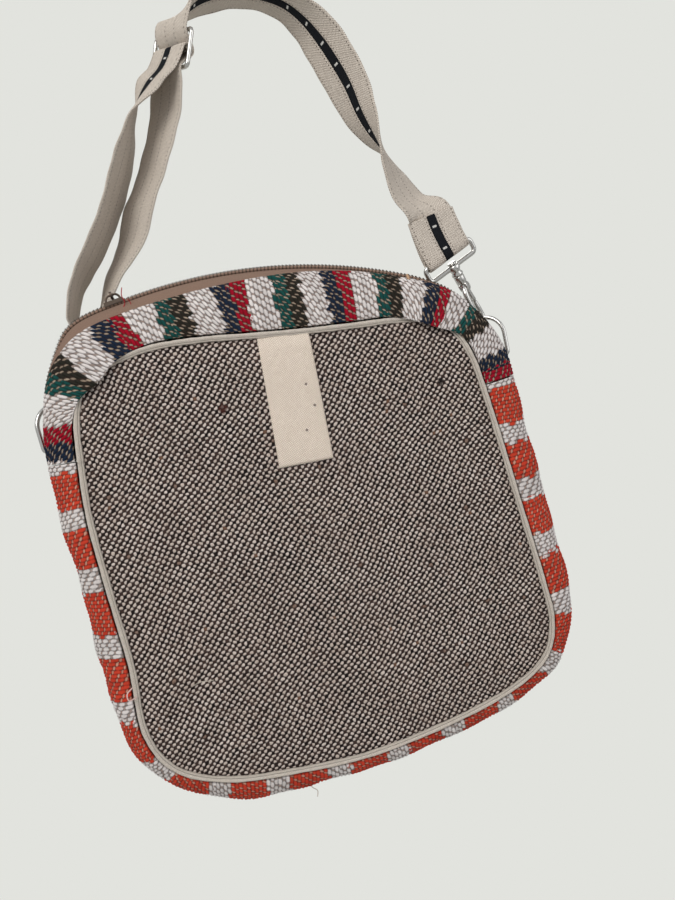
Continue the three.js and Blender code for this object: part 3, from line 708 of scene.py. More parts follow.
def band(name, first, last, rows, start, end, columns, material, upper, thickness=2.6):
    """A herringbone band between two stations and two angles, with its yarns in relief."""
    station = np.linspace(first, last, rows)
    share = np.linspace(0, 1, columns)
    a, b = start(station)[:, None], end(station)[:, None]
    angle = a + (b - a) * share
    base = gusset(station, angle)
    s = np.interp(station, fine, LENGTHS)[:, None] + 0 * angle
    steps = np.linalg.norm(np.diff(base, axis=1), axis=2)
    t = np.concatenate([0 * a, np.cumsum(steps, axis=1)], axis=1)    # mm across the band
    out = normals(base)
    middle = base.mean(axis=(0, 1))
    if np.einsum("ijk,ijk->ij", out, base - middle).mean() < 0:
        out = -out
    rise = relief(s, t, upper)
    hem = np.minimum(1, np.minimum(share, 1 - share) * columns / 4)[None]
    ends = np.minimum(1, np.minimum(np.arange(rows), np.arange(rows)[::-1]) / 3)[:, None]
    puff = 0.55 * np.sin(s * 0.16 + 0.8 * np.sin(s * 0.031)) * np.sin(np.pi * share)
    puff = puff + 0.6 * np.sin(s * 0.071 + 2 + t * 0.08) * np.sin(np.pi * share)
    outer = base + out * (rise * hem * ends + puff)[..., None]
    if upper:
        seam, crest = around(station)
        back = unit(seam - crest)[:, None]
        sag = (0.1 + sagging(station))[:, None] * share * np.exp(1 - 6 * share) * 6
        outer = outer + vectors(SAG_BACK * back[..., 0] * sag,
                                np.sign(base[..., 1]) * SAG_OUT * sag,
                                SAG_BACK * back[..., 1] * sag)
    inner = base - out * (thickness - puff)[..., None]
    centres = [-26, *DARK, 446] if upper else [392, *ORANGE, 1177]
    stripe = np.interp(s, centres, np.arange(len(centres)) - 1.0)
    return shell(name, outer, inner, material, vectors(s, t, stripe))


def seam_angle(station):
    """Where a band begins, just clear of the piping."""
    seam, middle = around(station)
    return np.arcsin(2.6 / (np.linalg.norm(middle - seam, axis=1) - 3))


def free_edge(station):
    """The bands leave the zip tape free along the top and close over it at the sides."""
    share = station / RIGHT_JOINT
    rise, fall = np.clip((share - 0.1) / 0.2, 0, 1), np.clip((0.78 - share) / 0.42, 0, 1)
    x = np.minimum(rise, fall)
    return np.radians(77 - 27 * x * x * (3 - 2 * x))


def facing_rear(angle):
    """The same angle, counted on the rear half."""
    return lambda station: np.pi - angle(station)


# %% [markdown]
# The rear half is the mirror of the front one. No picture shows it, so it has fewer points.

# %% The three bands
upper_front = band("gusset_upper_front", 0.012, 13.988, 640, seam_angle, free_edge, 52,
                   UPPER_WOOL, True)
upper_rear = band("gusset_upper_rear", 0.012, 13.988, 420, facing_rear(seam_angle),
                  facing_rear(free_edge), 34, UPPER_WOOL, True)
lower = band("gusset_lower", 14.012, 29.988, 680, seam_angle, facing_rear(seam_angle), 62,
             LOWER_WOOL, False)
for piece, node, slot in ((upper_front, "gusset_upper_front", "striped_wool"),
                          (upper_rear, "gusset_upper_rear", "striped_wool"),
                          (lower, "gusset_lower", "orange_wool")):
    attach(piece, "bag"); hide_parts(node)
print("bands", [len(o.data.polygons) for o in (upper_front, upper_rear, lower)])

# %% [markdown]
# Panels: tweed stretched between the four runs of the seam. A flat disc of mesh would show its
# centre, so the cloth is a patch between four edges, whose rows run like the weave. It swells a
# little, and has soft puckers where the empty bag hangs from its corners.

# %% Panels
# height, ways in x and z, pitch, place in x and z, and spread of each pucker
PUCKERS = ((1.1, 0.8, -1, 0.17, -103, -87, 2400), (1.0, 1, 0.7, 0.15, 101.6, 118, 2600))


def seam_run(first, last, count, inset):
    """A run of the seam between two stations, moved inwards."""
    seam, _ = around(np.linspace(first, last, count) % STATIONS)
    tangent = unit(np.gradient(seam, axis=0))
    return seam + np.stack([tangent[:, 1], -tangent[:, 0]], -1) * inset


def panel(name, facing, count):
    """A patch between four edges: the sum of the two ruled surfaces less the corners' one."""
    corners = (2.4, 12.4, 19.0, 25.2)
    inset = 1.6
    top = seam_run(corners[0], corners[1], count, inset)
    right = seam_run(corners[1], corners[2], count, inset)
    bottom = seam_run(corners[2], corners[3], count, inset)[::-1]
    left = seam_run(corners[3], corners[0] + STATIONS, count, inset)[::-1]
    for edge, a, b in ((right, top[-1], bottom[-1]), (left, top[0], bottom[0])):
        edge[0], edge[-1] = a, b
    u = np.linspace(0, 1, count)[None, :, None]
    v = np.linspace(0, 1, count)[:, None, None]
    flat = ((1 - v) * top[None] + v * bottom[None] + (1 - u) * left[:, None]
            + u * right[:, None] - (1 - u) * (1 - v) * top[0] - u * (1 - v) * top[-1]
            - (1 - u) * v * bottom[0] - u * v * bottom[-1])
    x, z = flat[..., 0], flat[..., 1]
    inside = (np.minimum(1, 14 * (u * (1 - u))[..., 0])
              * np.minimum(1, 14 * (v * (1 - v))[..., 0]))
    swell = 1.3 * inside + 0.6 * np.sin(x * 0.035 + z * 0.02) * inside
    pucker = 0
    for height, way_x, way_z, pitch, at_x, at_z, spread in PUCKERS:
        near = np.exp(-((x - at_x) ** 2 + (z - at_z) ** 2) / spread)
        pucker = pucker + height * np.sin((x * way_x + z * way_z) * pitch) * near
    pucker = pucker + 0.5 * np.sin(z * 0.06 + x * 0.012 + 1)
    depth = half_depth(z) - 1.0 + swell + pucker * inside
    return shell(name, vectors(x, facing * depth, z), vectors(x, facing * (depth - 1.6), z),
                 TWEED, vectors(x, z, 0))


front = panel("panel_front", -1, 170)
rear = panel("panel_rear", 1, 110)
for piece in (front, rear):
    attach(piece, "bag"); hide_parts(piece.name.split(".")[0])
print("panels", len(front.data.polygons), len(rear.data.polygons))

# %% [markdown]
# Piping: a cord in a folded linen strip, sewn in where panel and gusset meet. A plain tube
# would do from afar. Close to, the strip's two edges show as a low second ridge on the panel's
# side of the cord, so the section has both ridges and the ditch between them.


# %% Piping
def piping(name, facing, count=700):
    """The section carried round the seam: x points out of the bag, y away from its middle."""
    station = np.linspace(0, STATIONS, count, endpoint=False)
    seam, middle = around(station)
    out = unit(middle - seam)
    x = vectors(out[:, 0], 0, out[:, 1])
    y = np.tile([0.0, facing, 0.0], (count, 1))
    sunk = half_depth(seam[:, 1]) - 2.6 * sagging(station)
    path = vectors(seam[:, 0], facing * sunk, seam[:, 1])
    a = np.radians([-60, -35, -5, 25, 55, 85, 115, 145])
    cord = np.stack([0.3 + 2.35 * np.cos(a), 0.2 + 2.2 * np.sin(a)], -1)
    b = np.radians([60, 90, 120, 150, 185, 220, 250, 280, 305])
    fold = np.stack([-2.7 + 1.55 * np.cos(b), 0.3 + 1.35 * np.sin(b)], -1)
    foot = np.array([(-1.4, -1.9)])
    ring = np.concatenate([cord, fold, foot]) * (0.6, 0.82)
    plump = 1 + 0.05 * np.sin(station * 9.0) + 0.04 * np.sin(station * 23.0)
    grid = sweep(path, x, y, ring[None] * plump[:, None, None])
    s = np.interp(station, fine, LENGTHS)[:, None]
    t = np.linspace(0, 18, len(ring))[None]
    made = skin(name, grid, PIPING, vectors(s, t, 0), closed_path=True)
    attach(made, "bag"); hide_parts(name)
    print(name, len(made.data.polygons))


piping("piping_front", -1)
piping("piping_rear", 1)

# %% [markdown]
# Zip: two tapes that rise to the middle, and one metal tooth after another on each, half a
# pitch apart. The teeth could be instances of one block; here one mesh holds the whole row,
# which keeps it a single piece. At the two sides the zip lies deep between the bands.


# %% Zip
def tape(name, mirror):
    """A tape from under the band's free edge to the teeth."""
    station = np.linspace(0.02, 13.98, 420)
    seam, _ = around(station)
    depth = half_depth(seam[:, 1])
    a = free_edge(station)[:, None] - 0.05
    b = np.arccos(1.3 / depth)[:, None]
    angle = a + (b - a) * np.linspace(0, 1, 9)
    angle = np.pi - angle if mirror else angle
    base = gusset(station, angle, 0.5)
    s = np.interp(station, fine, LENGTHS)[:, None] + 0 * angle
    t = np.linspace(0, 10, 9)[None]
    out = normals(base)
    out = out * np.sign((out * (base - base.mean(axis=(0, 1)))).sum(-1).mean())
    return shell(name, base, base - 1.0 * out, ZIP_TAPE, vectors(s, t, 0))


for name, mirror in (("zip_tape_front", False), ("zip_tape_rear", True)):
    piece = tape(name, mirror)
    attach(piece, "bag"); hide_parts(name)

# %% [markdown]
# Each tooth is a block of six sides with a chamfered top, clamped on a bead along the tape's
# edge. The tooth is placed by its distance along the zip, so the pitch is even in the bends.


# %% Teeth
PITCH = 2.45    # of the teeth of one row, in millimetres


def teeth(name, facing, offset):
    """A row of teeth, each a block with a chamfered top, set square to the zip."""
    lo, hi = LENGTHS[np.searchsorted(fine, 0.15)], LENGTHS[np.searchsorted(fine, 13.85)]
    at = np.arange(lo + offset, hi, PITCH)
    station = np.interp(at, LENGTHS, fine)
    _, middle = around(station)
    _, beyond = around(station + 0.01)
    along = unit(beyond - middle)
    out = np.stack([-along[:, 1], along[:, 0]], -1)
    way = vectors(along[:, 0], 0, along[:, 1])
    up = vectors(out[:, 0], 0, out[:, 1])
    deep = 2.3 * (np.clip(3.6 - station, 0, 1) + np.clip(station - 10.3, 0, 1))[:, None]
    centre = vectors(middle[:, 0], 0, middle[:, 1]) - up * deep
    # ring of the block, seen along the zip: y then height; one slice at each end of the tooth
    ring = np.array([(-0.2, -0.9), (-0.2, 1.6), (0.6, 2.5), (1.9, 2.3), (2.6, 1.2), (2.6, -1.2)])
    slices = np.array([-0.19, 0.19]) * PITCH
    v = (centre[:, None, None] + way[:, None, None] * slices[None, :, None, None]
         + np.array([0, facing, 0.0]) * ring[None, None, :, :1]
         + up[:, None, None] * ring[None, None, :, 1:])
    n, m = len(at), len(ring)
    base = (np.arange(n) * 2 * m)[:, None, None]
    j = np.arange(m)
    k = (j + 1) % m
    sides = np.stack([j, k, k + m, j + m], -1)[None]
    caps = np.array([(5, 4, 1, 0), (4, 3, 2, 1)])
    caps = np.concatenate([caps, caps[:, ::-1] + m])[None]
    quads = np.concatenate([sides + base, caps + base], axis=1).reshape(-1, 4)
    made = mesh_object(name, v.reshape(-1, 3), quads, BRONZE, smooth=False)
    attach(made, "bag"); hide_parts(name)
    # the bead of the tape that the teeth are clamped on
    bead = wire(name.replace("teeth", "bead"), centre + up * 0.35 + (0, facing * 1.5, 0), 1.15,
                ZIP_TAPE, sides=10)
    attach(bead, "bag")
    print(name, n, "teeth")


teeth("zip_teeth_front", -1, 0.0)
teeth("zip_teeth_rear", 1, 1.22)

# %% [markdown]
# The linen tab on the front panel: its top goes under the piping, and it is sewn on all round.
# It is a sheet between four corners, raised at its hem, with a shallow groove along the seam.
# The photograph shows it blank.

# %% Tab
corners = np.array([(-6.5, 147.5), (28.2, 144), (24.2, 58.6), (-12.6, 60.6)])
u = np.linspace(0, 1, 34)[None, :, None]
v = np.linspace(0, 1, 70)[:, None, None]
flat = ((1 - v) * ((1 - u) * corners[0] + u * corners[1])
        + v * ((1 - u) * corners[3] + u * corners[2]))
x, z = flat[..., 0], flat[..., 1]
rim = np.minimum(np.minimum(u, 1 - u) * 36, (1 - v) * 80)[..., 0]
lift = 1.7 + 1.1 * np.clip(rim / 1.2, 0, 1) ** 0.5 - 0.35 * np.exp(-((rim - 2.6) ** 2) / 0.8)
lift = lift + 0.25 * np.sin(z * 0.11 + x * 0.05) + 0.2 * np.sin(x * 0.3 + z * 0.04)
lift = lift - 1.6 * np.clip((z - 138) / 8, 0, 1)
face = vectors(x, -(half_depth(z) - 0.2 + lift), z)
back = vectors(x, -(half_depth(z) - 0.9), z)
tab = shell("patch_tab", face, back, TAB, vectors(x, z, 0))
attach(tab, "bag"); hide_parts("patch_tab")
print("tab", len(tab.data.polygons))

# %% [markdown]
# Metal fittings: a D-ring, a swivel loop and a snap hook at each end of the strap. Each is
# drawn in its own flat frame, with an origin and three ways taken from the part: the ring at
# its bar, the loop and the hook at the strap's bar. So each turns with its body, and one
# drawing serves both sides.


# %% Fittings
def arc(cx, cz, radius, first, last, count):
    """Points on an arc in the local X-Z plane."""
    a = np.radians(np.linspace(first, last, count))
    return vectors(cx + radius * np.cos(a), 0, cz + radius * np.sin(a))


def rounded(half, low, high, radius):
    """A rectangle with rounded corners, whose middles lie at half and at low and high."""
    return np.concatenate([arc(half, low, radius, -90, 0, 7), arc(half, high, radius, 0, 90, 7),
                           arc(-half, high, radius, 90, 180, 7),
                           arc(-half, low, radius, 180, 270, 7)])


def spread(path):
    """The same closed path with evenly spaced points."""
    p = np.concatenate([path, path[:1]])
    d = distances(p)
    return sampled(np.linspace(0, d[-1], int(d[-1] / 0.8) + 1, endpoint=False), d, p)


def local(points, origin, x, y, z):
    """Carries points from a fitting's own frame to where the fitting is."""
    return np.asarray(origin) + np.asarray(points) @ np.array([x, y, z])


FITTINGS = {
    "left": dict(
        ring=((-150.75, 21.66, 107.55), (-0.8693, -0.4944, 0.0),
              (0.4933, -0.8673, 0.0666), (-0.0329, 0.0579, 0.9978)),
        tab=((-0.4941, 0.8688, 0.0327), (0.0162, -0.0284, 0.9995), (0.8693, 0.4944, 0.0)),
        bar=(-123.95, 34.58, 185.78),
        loop=((-0.0626, 0.9791, -0.1935), (-0.8655, 0.0433, 0.499), (0.4969, 0.1988, 0.8447)),
        hook=((-0.4925, 0.866, 0.086), (-0.7145, -0.4588, 0.5282), (0.4969, 0.1988, 0.8447)),
        tail=7),
    "right": dict(
        ring=((162.75, 18.47, 99.72), (-0.8142, 0.5806, 0.0),
              (-0.5786, -0.8113, 0.0838), (0.0486, 0.0682, 0.9965)),
        tab=((0.5771, 0.8093, 0.1096), (-0.0636, -0.0892, 0.994), (0.8142, -0.5806, 0.0)),
        bar=(142.89, 3.71, 179.55),
        loop=((0.9168, -0.0031, 0.3994), (-0.1176, 0.9535, 0.2774), (-0.3817, -0.3013, 0.8738)),
        hook=((0.5121, 0.7181, 0.4713), (-0.7695, 0.6274, -0.1198), (-0.3817, -0.3013, 0.8738)),
        tail=13)}

ring_path = np.concatenate([arc(12, 3, 3, -90, 0, 7)[:-1], arc(0, 16, 15, 0, 180, 40),
                            arc(-12, 3, 3, 180, 270, 7)[1:]])
loop_path = rounded(17.6, -7.6, -3, 3)


def turned(name, profile, origin, ways, material, sides=28):
    """A turned piece: a closed profile of radius and height, swung round the local Z axis."""
    profile = np.asarray(profile, float)
    a = 2 * np.pi * np.arange(sides) / sides
    radius, height = profile[:, :1], profile[:, 1:]
    grid = vectors(radius * np.cos(a), radius * np.sin(a), height)
    return skin(name, local(grid, origin, *ways), material, closed_path=True)


def plate(name, outline, low, high, origin, ways, material):
    """A flat piece: a strip outline, two rows of points across from each other, given
    thickness along local Y."""
    outline = np.asarray(outline, float)
    n = len(outline) // 2
    a, b = outline[:n], outline[:n - 1:-1]
    ease = 0.25    # width of the chamfer along its edges
    rows = []
    for p, q in zip(a, b):
        d = unit(q - p) * ease
        rows.append([(*(p + d), low), (*p, low + ease), (*p, high - ease), (*(p + d), high),
                     (*(q - d), high), (*q, high - ease), (*q, low + ease), (*(q - d), low)])
    grid = np.array(rows)[..., [0, 2, 1]]
    return skin(name, local(grid, origin, *ways), material, smooth=False)


# %% [markdown]
# Shapes of the hook and of the folded linen tab that holds the ring. The tab's strip runs round
# the ring's bar and its two ends are sewn together as a tail.

# %% Shapes of the fittings
COLLAR = [(2.2, -8.9), (3.6, -8.9), (4.4, -9.8), (4.4, -12.5), (3.5, -14), (3.5, -15.6),
          (4.3, -16.4), (4.3, -17.4), (2.2, -17.6)]
STEM = [(0.05, -6.9), (2.6, -6.9), (3.3, -7.4), (3.3, -8.4), (1.85, -8.5), (1.85, -17.9),
        (3.6, -18.1), (3.9, -19), (3.9, -23.5), (3, -25.4), (0.05, -25.6)]
CHEEK = [(-2.6, -24.5), (-3, -27), (-2, -30), (0.5, -31.6), (2.2, -31.9), (4.9, -30.9),
         (5.5, -29.5), (4.6, -27.4), (3.2, -25.6), (1.5, -24.5)]
GATE = [(1.4, -28.2), (1.1, -29.4), (2.2, -34), (3.4, -39), (4.5, -43.5), (7.8, -42.6),
        (7.0, -39), (6.3, -34), (5.4, -29.4), (4.8, -28.2)]
hook_path = eased([(0, 0, -23), (-1.6, 0, -28), (-5, 0, -33), (-6.3, 0, -40), (-6.3, 0, -48),
                   *arc(0, -55.8, 6.3, 180, 360, 24)[::3], (6.3, 0, -50), (6.3, 0, -44)], 120)
hook_taper = np.interp(np.arange(120), [0, 90, 112, 119], [1, 1, 0.95, 0.75])
pin_y = np.linspace(-3.5, 3.5, 9)
pin_path = vectors(3.2, pin_y, -29.5)
across_tab = np.linspace(-12, 12, 27)


def fold(name, tail, origin, ways):
    """The linen tab: a strip round the ring's bar, with a tail of that length."""
    lines = [np.concatenate([[(-leg, 0, z) for leg, z in zip(legs, (-tail, -5, -1.2))],
                             arc(0, 0, radius, 180, -62, 22)])
             for legs, radius in (((3.8, 3.75, 3.75), 3.8), ((1.3, 1.3, 2), 1.95))]
    s = distances(lines[0])
    sheets = [local(vectors(line[:, :1], line[:, 2:], across_tab), origin, *ways)
              for line in lines]
    return shell(name, *sheets, TAB, vectors(s[:, None], across_tab, 0))


# %% [markdown]
# Both sides get the same pieces. Ring, loop, hook and gate each ride on a body of their own, so
# they swing as the joints say; the tab is sewn to the bag.

# %% Both sides
for side_name, f in FITTINGS.items():
    origin, *ways = f["ring"]
    bar, loop_ways, hook_ways = f["bar"], f["loop"], f["hook"]
    ring = wire(f"d_ring_{side_name}", local(spread(ring_path), origin, *ways), 1.6, NICKEL, True)
    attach(ring, f"ring_{side_name}"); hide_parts(f"d_ring_{side_name}")

    cloth = fold(f"ring_tab_{side_name}", f["tail"], origin, f["tab"])
    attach(cloth, "bag"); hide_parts(f"ring_tab_{side_name}")

    loop = wire(f"swivel_loop_{side_name}", local(spread(loop_path), bar, *loop_ways), 1.8,
                NICKEL, True)
    collar = turned(f"swivel_collar_{side_name}", COLLAR, bar, loop_ways, NICKEL)
    for piece in (loop, collar):
        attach(piece, f"loop_{side_name}")
    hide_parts(f"swivel_loop_{side_name}")

    hook = wire(f"snap_hook_{side_name}", local(hook_path, bar, *hook_ways), 2.1, NICKEL,
                taper=hook_taper)
    stem = turned(f"hook_stem_{side_name}", STEM, bar, hook_ways, NICKEL)
    cheeks = [plate(f"hook_cheek_{side_name}_{letter}", CHEEK, low, low + 1.4, bar, hook_ways,
                    NICKEL) for letter, low in (("a", -3.1), ("b", 1.7))]
    for piece in (hook, stem, *cheeks):
        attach(piece, f"hook_{side_name}")
    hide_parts(f"snap_hook_{side_name}")

    gate = plate(f"hook_gate_{side_name}", GATE, -1.3, 1.3, bar, hook_ways, NICKEL)
    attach(gate, f"gate_{side_name}"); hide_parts(f"hook_gate_{side_name}")
    pin = wire(f"gate_pin_{side_name}", local(pin_path, bar, *hook_ways), 0.9, NICKEL)
    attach(pin, f"hook_{side_name}"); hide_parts(f"gate_pin_{side_name}")
    print(side_name, "fittings:", len(hook.data.polygons), "faces in the hook")

# %% [markdown]
# The slide sets the strap's length: a wire frame with a middle bar, round which the strap's end
# is sewn. The band goes over one end of the frame, under the bar and out over the other.

# %% Slide
SLIDE = np.array([-14.5, 9, 352])
SLIDE_ALONG = np.array([0.3721, -0.1003, 0.9228])
SLIDE_ACROSS = np.array([-0.5714, 0.7587, 0.3129])
SLIDE_PLAIN = np.cross(SLIDE_ALONG, SLIDE_ACROSS)
slide_ways = (SLIDE_ACROSS, SLIDE_PLAIN, SLIDE_ALONG)
slide_frame = wire("strap_slide", local(spread(rounded(18.1, -9.5, 9.5, 2.5)), SLIDE, *slide_ways),
                   1.5, NICKEL, True)
slide_bar = wire("strap_slide_bar",
                 local(vectors(np.linspace(-20.6, 20.6, 30), 0, 0), SLIDE, *slide_ways),
                 1.3, NICKEL)
for piece in (slide_frame, slide_bar):
    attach(piece, "bag")
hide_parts("strap_slide")
print("slide", len(slide_frame.data.polygons))

# %% [markdown]
# The slider and its puller are small and hard, and their solids show all that can be seen of
# them. So these two are not drawn again: they keep their solids and get the zip's bronze.

# %% Slider
for name in ("zip_slider", "zip_puller"):
    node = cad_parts[name]
    node.data.materials.clear()
    node.data.materials.append(BRONZE)
    print(name, "in bronze")

# %% [markdown]
# The strap: one band of linen from its sewn end over the right loop's bar, up with a half
# turn, over the hold, down through the slide and the left loop, and back to the slide. Its
# inner face has folded edges that leave a slot, with the black band in it. A simulated band
# would have to be caught in just this pose, so it is drawn: each stop has the middle of the
# band and the way from edge to edge, and a smooth curve runs through both.

# %% Strap
right_bar, left_bar = (np.array(FITTINGS[k]["bar"]) for k in ("right", "left"))
RIGHT_WAY = np.array(FITTINGS["right"]["loop"][0])
LEFT_WAY = np.array(FITTINGS["left"]["loop"][0])


def near(bar, dx, dy, dz, *w):
    """A stop near a loop's bar."""
    return (bar[0] + dx, bar[1] + dy, bar[2] + dz, *w)


def at_slide(along, out, sideways=0.0):
    """A stop at the slide, in the slide's own ways."""
    p = SLIDE + SLIDE_ALONG * along + SLIDE_PLAIN * out + SLIDE_ACROSS * sideways
    return (*p, *SLIDE_ACROSS)


def round_bar(bar, way, start, total, steps, radius=3.1):
    """Stops on a turn of the band round a bar."""
    found = []
    for a in np.linspace(0, total, steps + 1):
        spoke = Matrix.Rotation(np.radians(a), 3, way) @ Vector(unit(np.array(start, float)))
        found.append((*(bar + radius * np.array(spoke)), *way))
    return found


STOPS = np.array([
    near(right_bar, -6.6, -2.4, 29, 0.975, 0, 0.2),
    near(right_bar, -5, -2.4, 20, 0.965, 0, 0.25),
    near(right_bar, -2.6, -2.7, 9, 0.94, 0, 0.33),
    *round_bar(right_bar, RIGHT_WAY, (0, -1, 0), 180, 4),
    near(right_bar, -2.4, 2.6, 9, 0.94, 0, 0.33),
    near(right_bar, -4.6, 0.6, 20, 0.965, 0.03, 0.25),
    near(right_bar, -7, 0.4, 32, 0.975, 0.12, 0.17),
    (126.8, 8, 223.5, 0.84, 0.53, 0.06), (122.4, 8.2, 234, 0.74, 0.66, 0.1),
    (119.4, 8.5, 246, 0.62, 0.78, -0.06), (115.2, 8.8, 262, 0.34, 0.93, 0),
    (109, 9, 278.5, -0.2, 0.97, 0.12), (105, 9.2, 292, -0.46, 0.85, 0.22),
    (101, 9.4, 311, -0.62, 0.77, 0.12), (95, 9.6, 330, -0.64, 0.75, 0.12),
    (89, 9.8, 345, -0.62, 0.77, 0.14), (80.5, 10, 360, -0.45, 0.88, 0.12),
    (68, 10, 373.5, -0.2, 0.98, 0.04), (51, 10, 382, -0.05, 1, 0), (30, 10, 385.4, 0, 1, 0),
    (13, 10, 383.5, -0.1, 0.99, 0), (1, 9, 377.5, -0.3, 0.94, 0.12),
    at_slide(20, 2.4), at_slide(12.5, 3), at_slide(8, 0.6), at_slide(4, -3.4),
    at_slide(0, -5.2), at_slide(-4, -3.4), at_slide(-8, 0.6), at_slide(-12.5, 3),
    at_slide(-22, 0.6),
    (-28.5, 14.2, 316.4, -0.66, 0.75, 0), (-38.8, 17.3, 296, -0.66, 0.75, 0),
    (-50.5, 20.4, 275.6, -0.66, 0.75, 0), (-61.9, 22.9, 259.6, -0.68, 0.73, 0),
    (-72.7, 27.6, 240.5, -0.66, 0.75, 0), (-82.5, 31, 228.7, -0.6, 0.8, 0),
    (-92.5, 33.6, 217.6, -0.52, 0.85, 0),
    near(left_bar, 15.2, 4.2, 9.6, -0.26, 0.96, 0), near(left_bar, 6.5, 0.4, -1, 0, 1, 0),
    *round_bar(left_bar, LEFT_WAY, (0.5, 0, -0.85), 120, 3),
    near(left_bar, -2.6, 0.3, 8, 0, 1, 0),
    (-119.5, 30.5, 211, 0.06, 0.99, 0), (-111, 28.1, 223.3, 0.14, 0.99, 0),
    (-101.6, 26.5, 233.7, 0.2, 0.98, 0), (-85.6, 23.3, 254.3, 0.22, 0.97, 0),
    (-72.2, 19.9, 275.7, 0.22, 0.97, 0), (-60.2, 16.5, 297, 0.16, 0.98, 0),
    (-49.8, 13.1, 318, -0.14, 0.98, 0.05),
    at_slide(-24, 11.5, 5), at_slide(-13, 6, 1), at_slide(-6, 4),
    *(at_slide(2.7 * np.cos(np.radians(a)), 2.7 * np.sin(np.radians(a)))
      for a in (95, 60, 20, -20, -60, -95))])

# %% [markdown]
# The stops lie close where the band turns and far apart where it runs free, and so do the
# points of the curve. Where they crowd, some are left out, or the band's rings would cross in
# the bends. At each point the way across is squared to the way along.

# %% Path of the strap
STEP = 0.7    # millimetres; the curve keeps one point at most in each step
walk = eased(STOPS, 8 * len(STOPS))
d = distances(walk[:, :3])
kept = np.concatenate([[0], 1 + np.flatnonzero(np.diff(np.floor(d / STEP)))])
path, w = np.split(walk[kept], 2, axis=1)
way = unit(np.gradient(path, axis=0))
w = unit(w - way * (w * way).sum(1, keepdims=True))
plain = np.cross(w, way)
at = d[kept][:, None]
# how freely the band may ripple: not at the loops and the slide, nor where its strands pass

free = np.clip(np.minimum(np.linalg.norm(path - right_bar, axis=1),
                          np.linalg.norm(path - left_bar, axis=1)) / 12 - 0.6, 0, 1)
free = free * np.clip(np.linalg.norm(path - SLIDE, axis=1) / 12 - 0.8, 0, 1)
free = free * np.clip(np.linalg.norm(path - (-80, 22, 222), axis=1) / 14 - 1.4, 0, 1)
print(f"strap {d[-1]:.0f} mm long, {len(path)} rings")

# %% [markdown]
# The section of the band: a plain face with two sewn lines on each side, soft edges, and the
# folded edges of the other face. It ripples where it hangs free and lies still at the loops
# and the slide. The black band lies in the slot and ripples with it.


# %% Band and inlay
def evenly(points, count):
    """The same line in a number of evenly spaced points."""
    p = np.asarray(points, float)
    q = distances(p)
    return sampled(np.linspace(0, 1, count) * q[-1], q, p)


def along_strap(name, ring, material, flutter):
    """A section carried along the strap; flutter is the ripple of its two edges."""
    x = ring[None, :, 0]
    ripple = (0.35 * np.sin(at * 0.11 + x * 0.15)
              + flutter * np.sin(at * 0.31) * np.abs(x / 18) ** 3)
    section = np.broadcast_to(ring, (len(path),) + ring.shape).copy()
    section[..., 1] += ripple * free[:, None]
    return skin(name, sweep(path, w, plain, section), material, vectors(at, x, 0))


half_top = [(0, 0.95), (3, 1.0), (4.9, 0.93), (7, 1.0), (11, 1.0), (14, 1.0), (16.2, 0.9),
            (17.3, 0.75), (18, 0.2)]
half_under = [(18, -0.3), (17.4, -0.85), (16.2, -0.95), (14, -1.0), (11, -1.05), (7, -1.05),
              (4.9, -1.0), (4.1, -1.05), (3.6, -0.75), (3.4, -0.1)]
top = [(-a, b) for a, b in half_top[:0:-1]] + half_top
under = np.array([(-a, b) for a, b in half_under] + [(-1.2, -0.1), (1.2, -0.1)]
                 + half_under[::-1])
strap = along_strap("strap", np.concatenate([evenly(top, len(under)), under[::-1]]), LINEN, 0.25)
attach(strap, "bag"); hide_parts("strap")

inlay_ring = np.array([(-3.2, -0.45), (-1.6, -0.42), (0, -0.42), (1.6, -0.42), (3.2, -0.45),
                       (3.2, -0.85), (1.6, -0.9), (0, -0.9), (-1.6, -0.9), (-3.2, -0.85)])
inlay = along_strap("strap_inlay", inlay_ring, BLACK_BAND, 0)
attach(inlay, "bag"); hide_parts("strap_inlay")
print("strap", len(strap.data.polygons), "inlay", len(inlay.data.polygons))

# %% [markdown]
# Loose ends and stitches: fine wires of yarn that hang free, a bar tack at the zip's right end,
# and the snag and the loop that show on the front. They could be curves with a bevel; as meshes
# they are kept with the rest of the bag.

# %% Loose threads
for name, points, radius, material in (
        ("thread_red", [(-85.6, -9, 182), (-86.4, -8.6, 187), (-84.6, -8, 191),
                        (-85.6, -7.6, 196), (-84.2, -7.4, 201)], 0.3, RED_THREAD),
        ("thread_red_short", [(-82.6, -9, 184), (-81, -8.6, 189), (-82.2, -8, 193)], 0.25,
         RED_THREAD),
        ("thread_bottom", [(-44, -6, -161), (-43, -8, -164.5), (-40, -8, -168), (-41, -8.5, -172)],
         0.28, CREAM_THREAD),
        ("thread_pink", [(-138.6, -26, -54), (-142.6, -29.5, -56.5), (-142.2, -30.5, -60.5),
                         (-137.6, -27.5, -60.5)], 0.42, PINK_THREAD),
        ("thread_snag", [(-101, -27.2, -64), (-97, -29.6, -62), (-92, -29.8, -62.6),
                         (-88, -27.2, -64)], 0.22, CREAM_THREAD)):
    thread = wire(name, eased(points, 24), radius, material, sides=8)
    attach(thread, "bag")
tack = wire("bar_tack", [(107.4, -8.4, 166), (107.8, -6.6, 168.4), (108, -4.6, 170)], 0.9,
            yarn_paint("tack_thread", (206, 170, 138)), sides=8)
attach(tack, "bag")

# %% [markdown]
# A pale floor and backdrop, and soft lamps: a large one from the upper left, a weaker one from
# the right, and an even sky. The photograph's background is bright and even, so the backdrop
# glows where the camera sees it and is plain where it only sends light back.

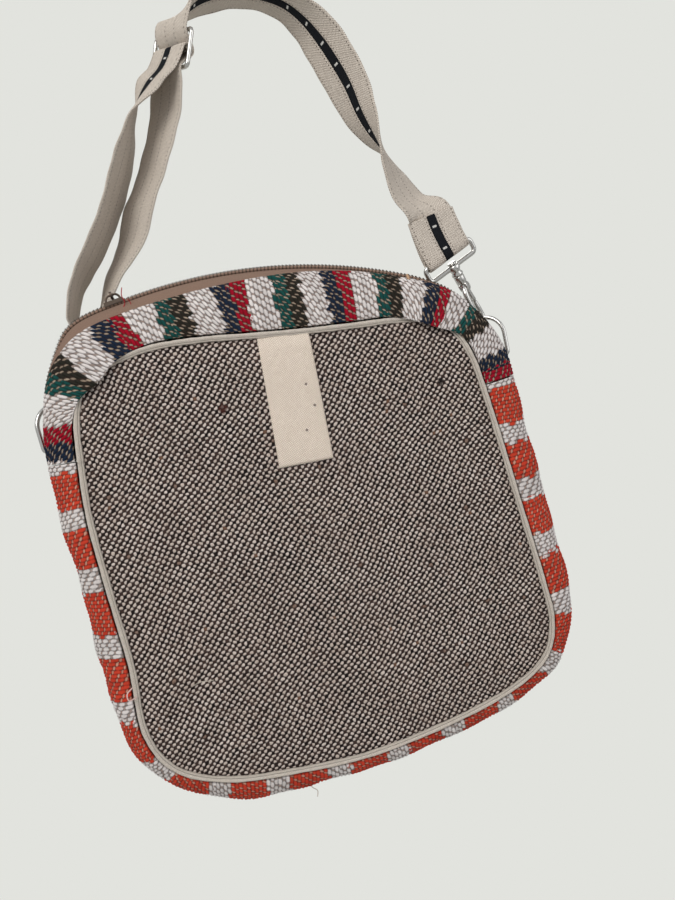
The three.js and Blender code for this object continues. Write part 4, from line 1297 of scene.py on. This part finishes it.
# %% Stage and light
FLOOR, WALL_TOP, NEAR_EDGE, BEND_START, BEND = -1300, 3200, -2500, 900, 700
a = np.linspace(0, np.pi / 2, 24)
profile = np.concatenate([
    [(NEAR_EDGE, FLOOR), (BEND_START, FLOOR)],
    np.stack([BEND_START + BEND * np.sin(a), FLOOR + BEND - BEND * np.cos(a)], -1),
    [(BEND_START + BEND, WALL_TOP)]])
cove = np.stack([vectors(x, profile[:, 0], profile[:, 1]) for x in (-4000.0, 4000.0)], axis=1)
below = cove + (0, 30, -30)
thick = np.stack([cove[:, 0], cove[:, 1], below[:, 1], below[:, 0]], 1)
pale = Paint("backdrop", Roughness=1.0, Specular_IOR_Level=0.0)
pale.shader.inputs["Base Color"].default_value = screen(226, 226, 222)
glow = pale.node("ShaderNodeEmission", Color=screen(226, 227, 222), Strength=1.0)
seen = pale.node("ShaderNodeLightPath").outputs["Is Camera Ray"]
either_way = pale.node("ShaderNodeMixShader", i0=seen, i1=pale.shader.outputs[0],
                       i2=glow.outputs[0])
pale.tree.links.new(either_way.outputs[0], pale.tree.nodes["Material Output"].inputs["Surface"])
backdrop = skin("backdrop", thick, pale.material)


def lamp(name, place, size, power, tint):
    """A round lamp that shines on the middle of the bag."""
    light = bpy.data.lights.new(name, "AREA")
    light.shape = "DISK"
    light.size, light.energy, light.color = size, power, tint
    thing = bpy.data.objects.new(name, light)
    z = unit(np.array(place, float) - TARGET)
    x = unit(np.cross((0, 0, 1), z))
    pose = np.eye(4)
    pose[:3, :3] = np.stack([x, np.cross(z, x), z], 1)
    pose[:3, 3] = place
    thing.matrix_world = Matrix(pose)
    bpy.context.scene.collection.objects.link(thing)


TARGET = np.array([0, 0, -0.3])
lamp("key", (-0.9, -1.3, 0.9), 1.2, 21, (1, 0.985, 0.96))
lamp("fill", (1.3, -1.0, 0.1), 1.4, 6, (0.97, 0.98, 1))
lamp("rear", (0.3, 1.1, 0.9), 1.2, 8, (1, 1, 1))
world = bpy.data.worlds.new("sky")
world.use_nodes = True
world.node_tree.nodes["Background"].inputs[0].default_value = (0.97, 0.98, 1, 1)
world.node_tree.nodes["Background"].inputs[1].default_value = 0.55
bpy.context.scene.world = world
bpy.context.scene.view_settings.view_transform = "Standard"
print(len(bpy.data.lights), "lamps")
